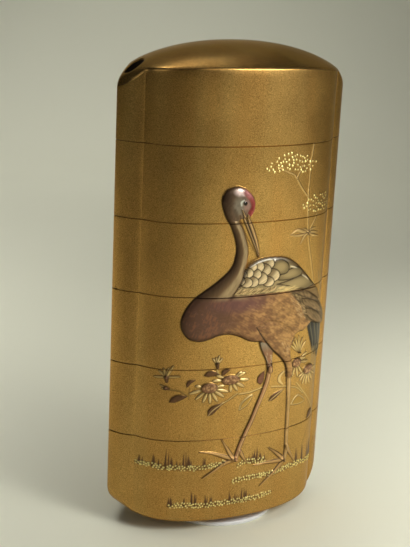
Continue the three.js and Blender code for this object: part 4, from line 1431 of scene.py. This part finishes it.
def gold_dots(canvas, seed, outline, count, low, high):
    """Fine gold dots of low to high radius scattered inside an outline."""
    rng = np.random.default_rng(seed)
    loop = np.array(outline)
    tries = loop.min(0) + rng.random((12 * count, 2)) * (loop.max(0) - loop.min(0))
    spots = spread_out(tries[inside(tries, loop)], count, DOT_GAP)
    sizes = low + (high - low) * rng.random(len(spots)) ** 1.5
    for (x, z), size in zip(spots, sizes):
        canvas.dot(x, z, size, DOT_GOLD, 0.12)


def ground_dots(canvas, seed, line, count):
    """A band of gold dots along a ground line, on a darker powder."""
    under = srgb(104, 72, 34)
    canvas.stroke(line, [0.2, 0.55, 0.6, 0.5, 0.2], under, opaque=0.75, soft=0.25)
    rng = np.random.default_rng(seed)
    path = np.array(line)
    along, away = rng.random((6 * count, 2)).T
    x = path[0, 0] + along * (path[-1, 0] - path[0, 0])
    z = np.interp(x, path[:, 0], path[:, 1]) + BAND_HEIGHT * (away - 0.5)
    for x, z in spread_out(np.c_[x, z], count, BAND_GAP):
        canvas.dot(x, z, 0.15 + 0.05 * rng.random(), DOT_GOLD, 0.18, halo=False)


def draw_dots(canvas, shift=0.0):
    """The dots that stand for the patrinia's tiny flowers."""
    for seed, outline, count in ((111, HIGH_CLUSTER, 54), (112, LOW_CLUSTER, 38)):
        gold_dots(canvas, seed, [(x + shift, z) for x, z in outline], count, 0.15, 0.24)


def draw_front(canvas):
    """The whole front: what lies nearer is drawn later."""
    draw_ground(canvas)
    for seed, (line, count) in enumerate(GROUND_LINES, 121):
        ground_dots(canvas, seed, line, count)
    draw_patrinia(canvas)
    draw_dots(canvas)
    draw_asters(canvas)
    draw_crane(canvas)


def draw_back(canvas):
    """The back's one patrinia spray."""
    draw_patrinia(canvas, BACK_SHIFT)
    draw_dots(canvas, BACK_SHIFT)


# ---- Materials -------------------------------------------------------------------------------


POWDER_SCALE = 7000.0
POWDER_DARK = (0.245, 0.146, 0.038)
POWDER_BRIGHT = (0.65, 0.388, 0.112)
BAND_SCALE = 190.0
BAND_STRETCH = (1, 1, 0.12)
BAND_WARM = (1.0, 0.92, 0.86)
BAND_COOL = (1.0, 0.99, 1.0)
AGE_SCALE = 110.0
EDGE_SHEEN = (0.92, 0.76, 0.55, 1)
DISC_GREYS = (srgb(222, 222, 220), srgb(240, 240, 238))
PAPER_TONES = (srgb(228, 227, 203), srgb(233, 232, 209))


def set_inputs(node, values):
    """Gives a node's inputs, by name or by number, a value or a link."""
    for key, value in values.items():
        if isinstance(value, bpy.types.NodeSocket):
            node.id_data.links.new(value, node.inputs[key])
        else:
            node.inputs[key].default_value = value


def shader(name):
    """A new material, its Principled shader, a function that adds a node, and the place."""
    material = bpy.data.materials.new(name)
    material.use_nodes = True
    tree = material.node_tree

    def node(kind, inputs=None, **settings):
        made = tree.nodes.new(kind)
        for key, value in settings.items():
            setattr(made, key, value)
        set_inputs(made, inputs or {})
        return made

    place = node("ShaderNodeTexCoord").outputs["Object"]
    return material, tree.nodes["Principled BSDF"], node, place


def noise(node, place, scale, detail=2.0):
    """Soft 3-D noise, about 0..1. scale is how many cells fit in a unit of place."""
    inputs = {"Vector": place, "Scale": scale, "Detail": detail}
    return node("ShaderNodeTexNoise", inputs).outputs["Fac"]


def two_tone(node, share, low, high, start=0.0, stop=1.0):
    """A linear colour that goes from low to high as share goes from start to stop."""
    ramp = node("ShaderNodeValToRGB", {"Fac": share})
    first, last = ramp.color_ramp.elements
    first.position = start
    last.position = stop
    first.color = (*low, 1)
    last.color = (*high, 1)
    return ramp.outputs["Color"]


def mixed(node, share, first, second, how="MIX"):
    """Two colours mixed. A Mix node's inputs 6 and 7 and its output 2 are the colour ones."""
    inputs = {0: share, 6: first, 7: second}
    return node("ShaderNodeMix", inputs, data_type="RGBA", blend_type=how).outputs[2]


def lacquer_colour(node, powder, bands, age):
    """Gold powder under the paint from the drawing, all a little darker in patches."""
    gold = two_tone(node, powder, POWDER_DARK, POWDER_BRIGHT, 0.3, 0.7)
    hue = two_tone(node, bands, BAND_WARM, BAND_COOL, 0.35, 0.65)
    paint = node("ShaderNodeAttribute", attribute_name="paint").outputs
    ground = mixed(node, 1.0, gold, hue, "MULTIPLY")
    colour = mixed(node, paint["Alpha"], ground, paint["Color"])
    limits = {"From Min": 0.3, "From Max": 0.7, "To Min": 0.88, "To Max": 1.08}
    wear = node("ShaderNodeMapRange", {"Value": age, **limits}).outputs["Result"]
    shade = node("ShaderNodeVectorMath", {0: colour}, operation="SCALE")
    set_inputs(shade, {"Scale": wear})
    return shade.outputs[0]


def lacquer_material():
    """Gold powder in lacquer, with the figures' colour and finish from the drawing."""
    material, principled, node, place = shader("gold_lacquer_with_figures")
    upright = node("ShaderNodeVectorMath", {0: place, 1: BAND_STRETCH}, operation="MULTIPLY")
    powder = noise(node, place, POWDER_SCALE, 3.0)
    bands = noise(node, upright.outputs[0], BAND_SCALE, 1.0)
    age = noise(node, place, AGE_SCALE, 5.0)
    finish = node("ShaderNodeAttribute", attribute_name="finish").outputs["Color"]
    parts = node("ShaderNodeSeparateColor", {"Color": finish}).outputs
    level = node("ShaderNodeMath", {0: parts["Green"], 1: 0.08}, operation="SUBTRACT")
    scale = {0: age, 1: 0.16, 2: level.outputs[0]}
    grain = {"Height": powder, "Strength": 0.5, "Distance": 0.00002}
    wave = {"Height": bands, "Strength": 0.5, "Distance": 0.0002}
    wave["Normal"] = node("ShaderNodeBump", grain).outputs["Normal"]
    set_inputs(principled, {
        "Base Color": lacquer_colour(node, powder, bands, age),
        "Metallic": parts["Red"],
        "Roughness": node("ShaderNodeMath", scale, operation="MULTIPLY_ADD").outputs[0],
        "Normal": node("ShaderNodeBump", wave).outputs["Normal"],
        "Specular Tint": EDGE_SHEEN,
    })
    return material


def mottled_material(name, scale, tones, rough):
    """A plain matt material that varies faintly between two tones."""
    material, principled, node, place = shader(name)
    colour = two_tone(node, noise(node, place, scale), *tones)
    set_inputs(principled, {"Base Color": colour, "Roughness": rough})
    return material


gold_lacquer = lacquer_material()
white_disc = mottled_material("white_disc", 900.0, DISC_GREYS, 0.45)

# ---- The pieces ------------------------------------------------------------------------------

def disc_piece():
    """The low white display disc, with a rounded rim."""
    low, high = (np.array(corner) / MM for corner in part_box("display_disc"))
    centre = ((low + high) / 2)[:2]
    radius = (high[0] - low[0]) / 2 - DISC_ROUNDING
    shell = Shell()
    rings = []
    for angle in np.linspace(-math.pi / 2, math.pi / 2, DISC_ROWS):
        reach = radius + DISC_ROUNDING * math.cos(angle)
        middle = low[2] + DISC_ROUNDING if angle < 0 else high[2] - DISC_ROUNDING
        loop = circle_loop(0, reach, DISC_SIDES) + centre
        rings.append(shell.ring(loop, middle + DISC_ROUNDING * math.sin(angle)))
    shell.wall(rings, 0)
    shell.cap([rings[0]], 0, False)
    shell.cap([rings[-1]], 0, True)
    piece = shell.build("display_disc_rounded", white_disc, "white_disc")
    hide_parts("display_disc")


lid_piece()
for number, (low, high) in enumerate(zip(JOINTS[:-1], JOINTS[1:])):
    middle_case(f"case_{4 - number}", low, high, draw_front, draw_back)
bottom_piece(draw_front, draw_back)
disc_piece()

# ---- Stage, light and camera -----------------------------------------------------------------

VIEW_AZIMUTH = math.radians(-25.0)
VIEW_ELEVATION = math.radians(15.707)
VIEW_ROLL = math.radians(2.705)
VIEW_DISTANCE = 0.23109
VIEW_SHIFT = -0.003959  # of the camera to its right, in metres
VIEW_CENTRE = Vector((0, 0, 0.05095))
LENS = 75.34
LIGHT_CENTRE = Vector((0, 0, 0.05))
FLOOR_FRONT, FLOOR_BACK, FLOOR_SIDE = -0.9, 0.35, 1.2
WALL_HEIGHT, WALL_BEND, BEND_STEPS = 0.9, 0.25, 16


def backdrop():
    """A pale floor that curves up into a wall behind the object."""
    profile = [(FLOOR_FRONT, 0.0), (FLOOR_BACK, 0.0)]
    for angle in np.linspace(0, math.pi / 2, BEND_STEPS + 1)[1:]:
        away = FLOOR_BACK + WALL_BEND * math.sin(angle)
        profile.append((away, WALL_BEND * (1 - math.cos(angle))))
    profile.append((FLOOR_BACK + WALL_BEND, WALL_HEIGHT))
    verts = [(x, y, z) for y, z in profile for x in (-FLOOR_SIDE, FLOOR_SIDE)]
    faces = [(2 * i, 2 * i + 1, 2 * i + 3, 2 * i + 2) for i in range(len(profile) - 1)]
    mesh = bpy.data.meshes.new("backdrop")
    mesh.from_pydata(verts, [], faces)
    mesh.polygons.foreach_set("use_smooth", [True] * len(faces))
    mesh.materials.append(mottled_material("backdrop_paper", 12.0, PAPER_TONES, 0.7))
    stage = add_object("backdrop", mesh)
    stage.matrix_world = Matrix.Rotation(VIEW_AZIMUTH, 4, "Z")


def add_lamp(name, place, aim, size, power, spread=180):
    """A soft square lamp at a place in metres that faces a point. The camera doesn't see it."""
    lamp = bpy.data.lights.new(name, "AREA")
    lamp.size = size
    lamp.energy = power
    lamp.spread = math.radians(spread)
    thing = add_object(name, lamp)
    thing.location = place
    thing.rotation_euler = (aim - place).to_track_quat("-Z", "Y").to_euler()
    thing.visible_camera = False


def toward(azimuth, elevation):
    """The direction of a viewpoint or lamp from the object. Azimuth 0 is in front, +90 right."""
    level = math.cos(elevation)
    return Vector((math.sin(azimuth) * level, -math.cos(azimuth) * level, math.sin(elevation)))


def behind(away, side, height):
    """A place that lies this far behind the object and to the right, as the camera sees it."""
    return Matrix.Rotation(VIEW_AZIMUTH, 3, "Z") @ Vector((side, away, height))


STUDIO_LAMPS = [  # name, azimuth, elevation, distance, size, power. They face the object.
    ("low key", 40, 8, 0.6, 0.35, 0.20),
    ("front fill", 15, 30, 0.6, 0.35, 0.38),
    ("right edge", 90, 15, 0.6, 0.35, 0.02),
    ("right rear", 120, 30, 0.6, 0.40, 0.02),
    ("left fill", -70, 25, 0.6, 0.35, 0.22),
    ("top", 0, 88, 0.7, 0.5, 0.38),
    ("rear", 175, 40, 0.5, 0.5, 0.07),
]
FLOOR_LAMPS = [  # name, place, size, power, spread. They face straight down.
    ("near pool", Vector((0.068, -0.145, 0.14)), 0.08, 0.26, 180),
    ("far pool", Vector((0.149, -0.213, 0.16)), 0.12, 0.24, 180),
    ("left wash", behind(0.30, -0.14, 0.50), 0.40, 0.27, 70),
    ("far wash", behind(0.55, 0, 0.40), 0.30, 0.09, 80),
    ("left floor", behind(0.05, -0.19, 0.30), 0.20, 0.16, 60),
    ("side wash", behind(0.05, 0.16, 0.25), 0.15, 0.11, 60),
]


def lights():
    """The two sets of lamps, with no light from the world."""
    for name, azimuth, elevation, distance, size, power in STUDIO_LAMPS:
        way = toward(math.radians(azimuth), math.radians(elevation))
        add_lamp(name, LIGHT_CENTRE + way * distance, LIGHT_CENTRE, size, power)
    for name, place, size, power, spread in FLOOR_LAMPS:
        add_lamp(name, place, place - Vector((0, 0, 1)), size, power, spread)
    world = bpy.data.worlds.new("studio")
    world.use_nodes = True
    world.node_tree.nodes["Background"].inputs["Strength"].default_value = 0.0
    bpy.context.scene.world = world


def camera():
    """The photograph's viewpoint, with its slight roll."""
    back = toward(VIEW_AZIMUTH, VIEW_ELEVATION)
    level = Vector((math.cos(VIEW_AZIMUTH), math.sin(VIEW_AZIMUTH), 0))
    up = back.cross(level)
    right = math.cos(VIEW_ROLL) * level + math.sin(VIEW_ROLL) * up
    over = math.cos(VIEW_ROLL) * up - math.sin(VIEW_ROLL) * level
    lens = bpy.data.cameras.new("camera")
    lens.sensor_width = 36
    lens.sensor_fit = "AUTO"
    lens.lens = LENS
    lens.clip_start = 0.01
    thing = add_object("camera", lens)
    turn = Matrix((right, over, back)).transposed().to_4x4()
    place = VIEW_CENTRE + back * VIEW_DISTANCE + right * VIEW_SHIFT
    thing.matrix_world = Matrix.Translation(place) @ turn
    bpy.context.scene.camera = thing


backdrop()
lights()
camera()
bpy.context.scene.view_settings.view_transform = "Standard"
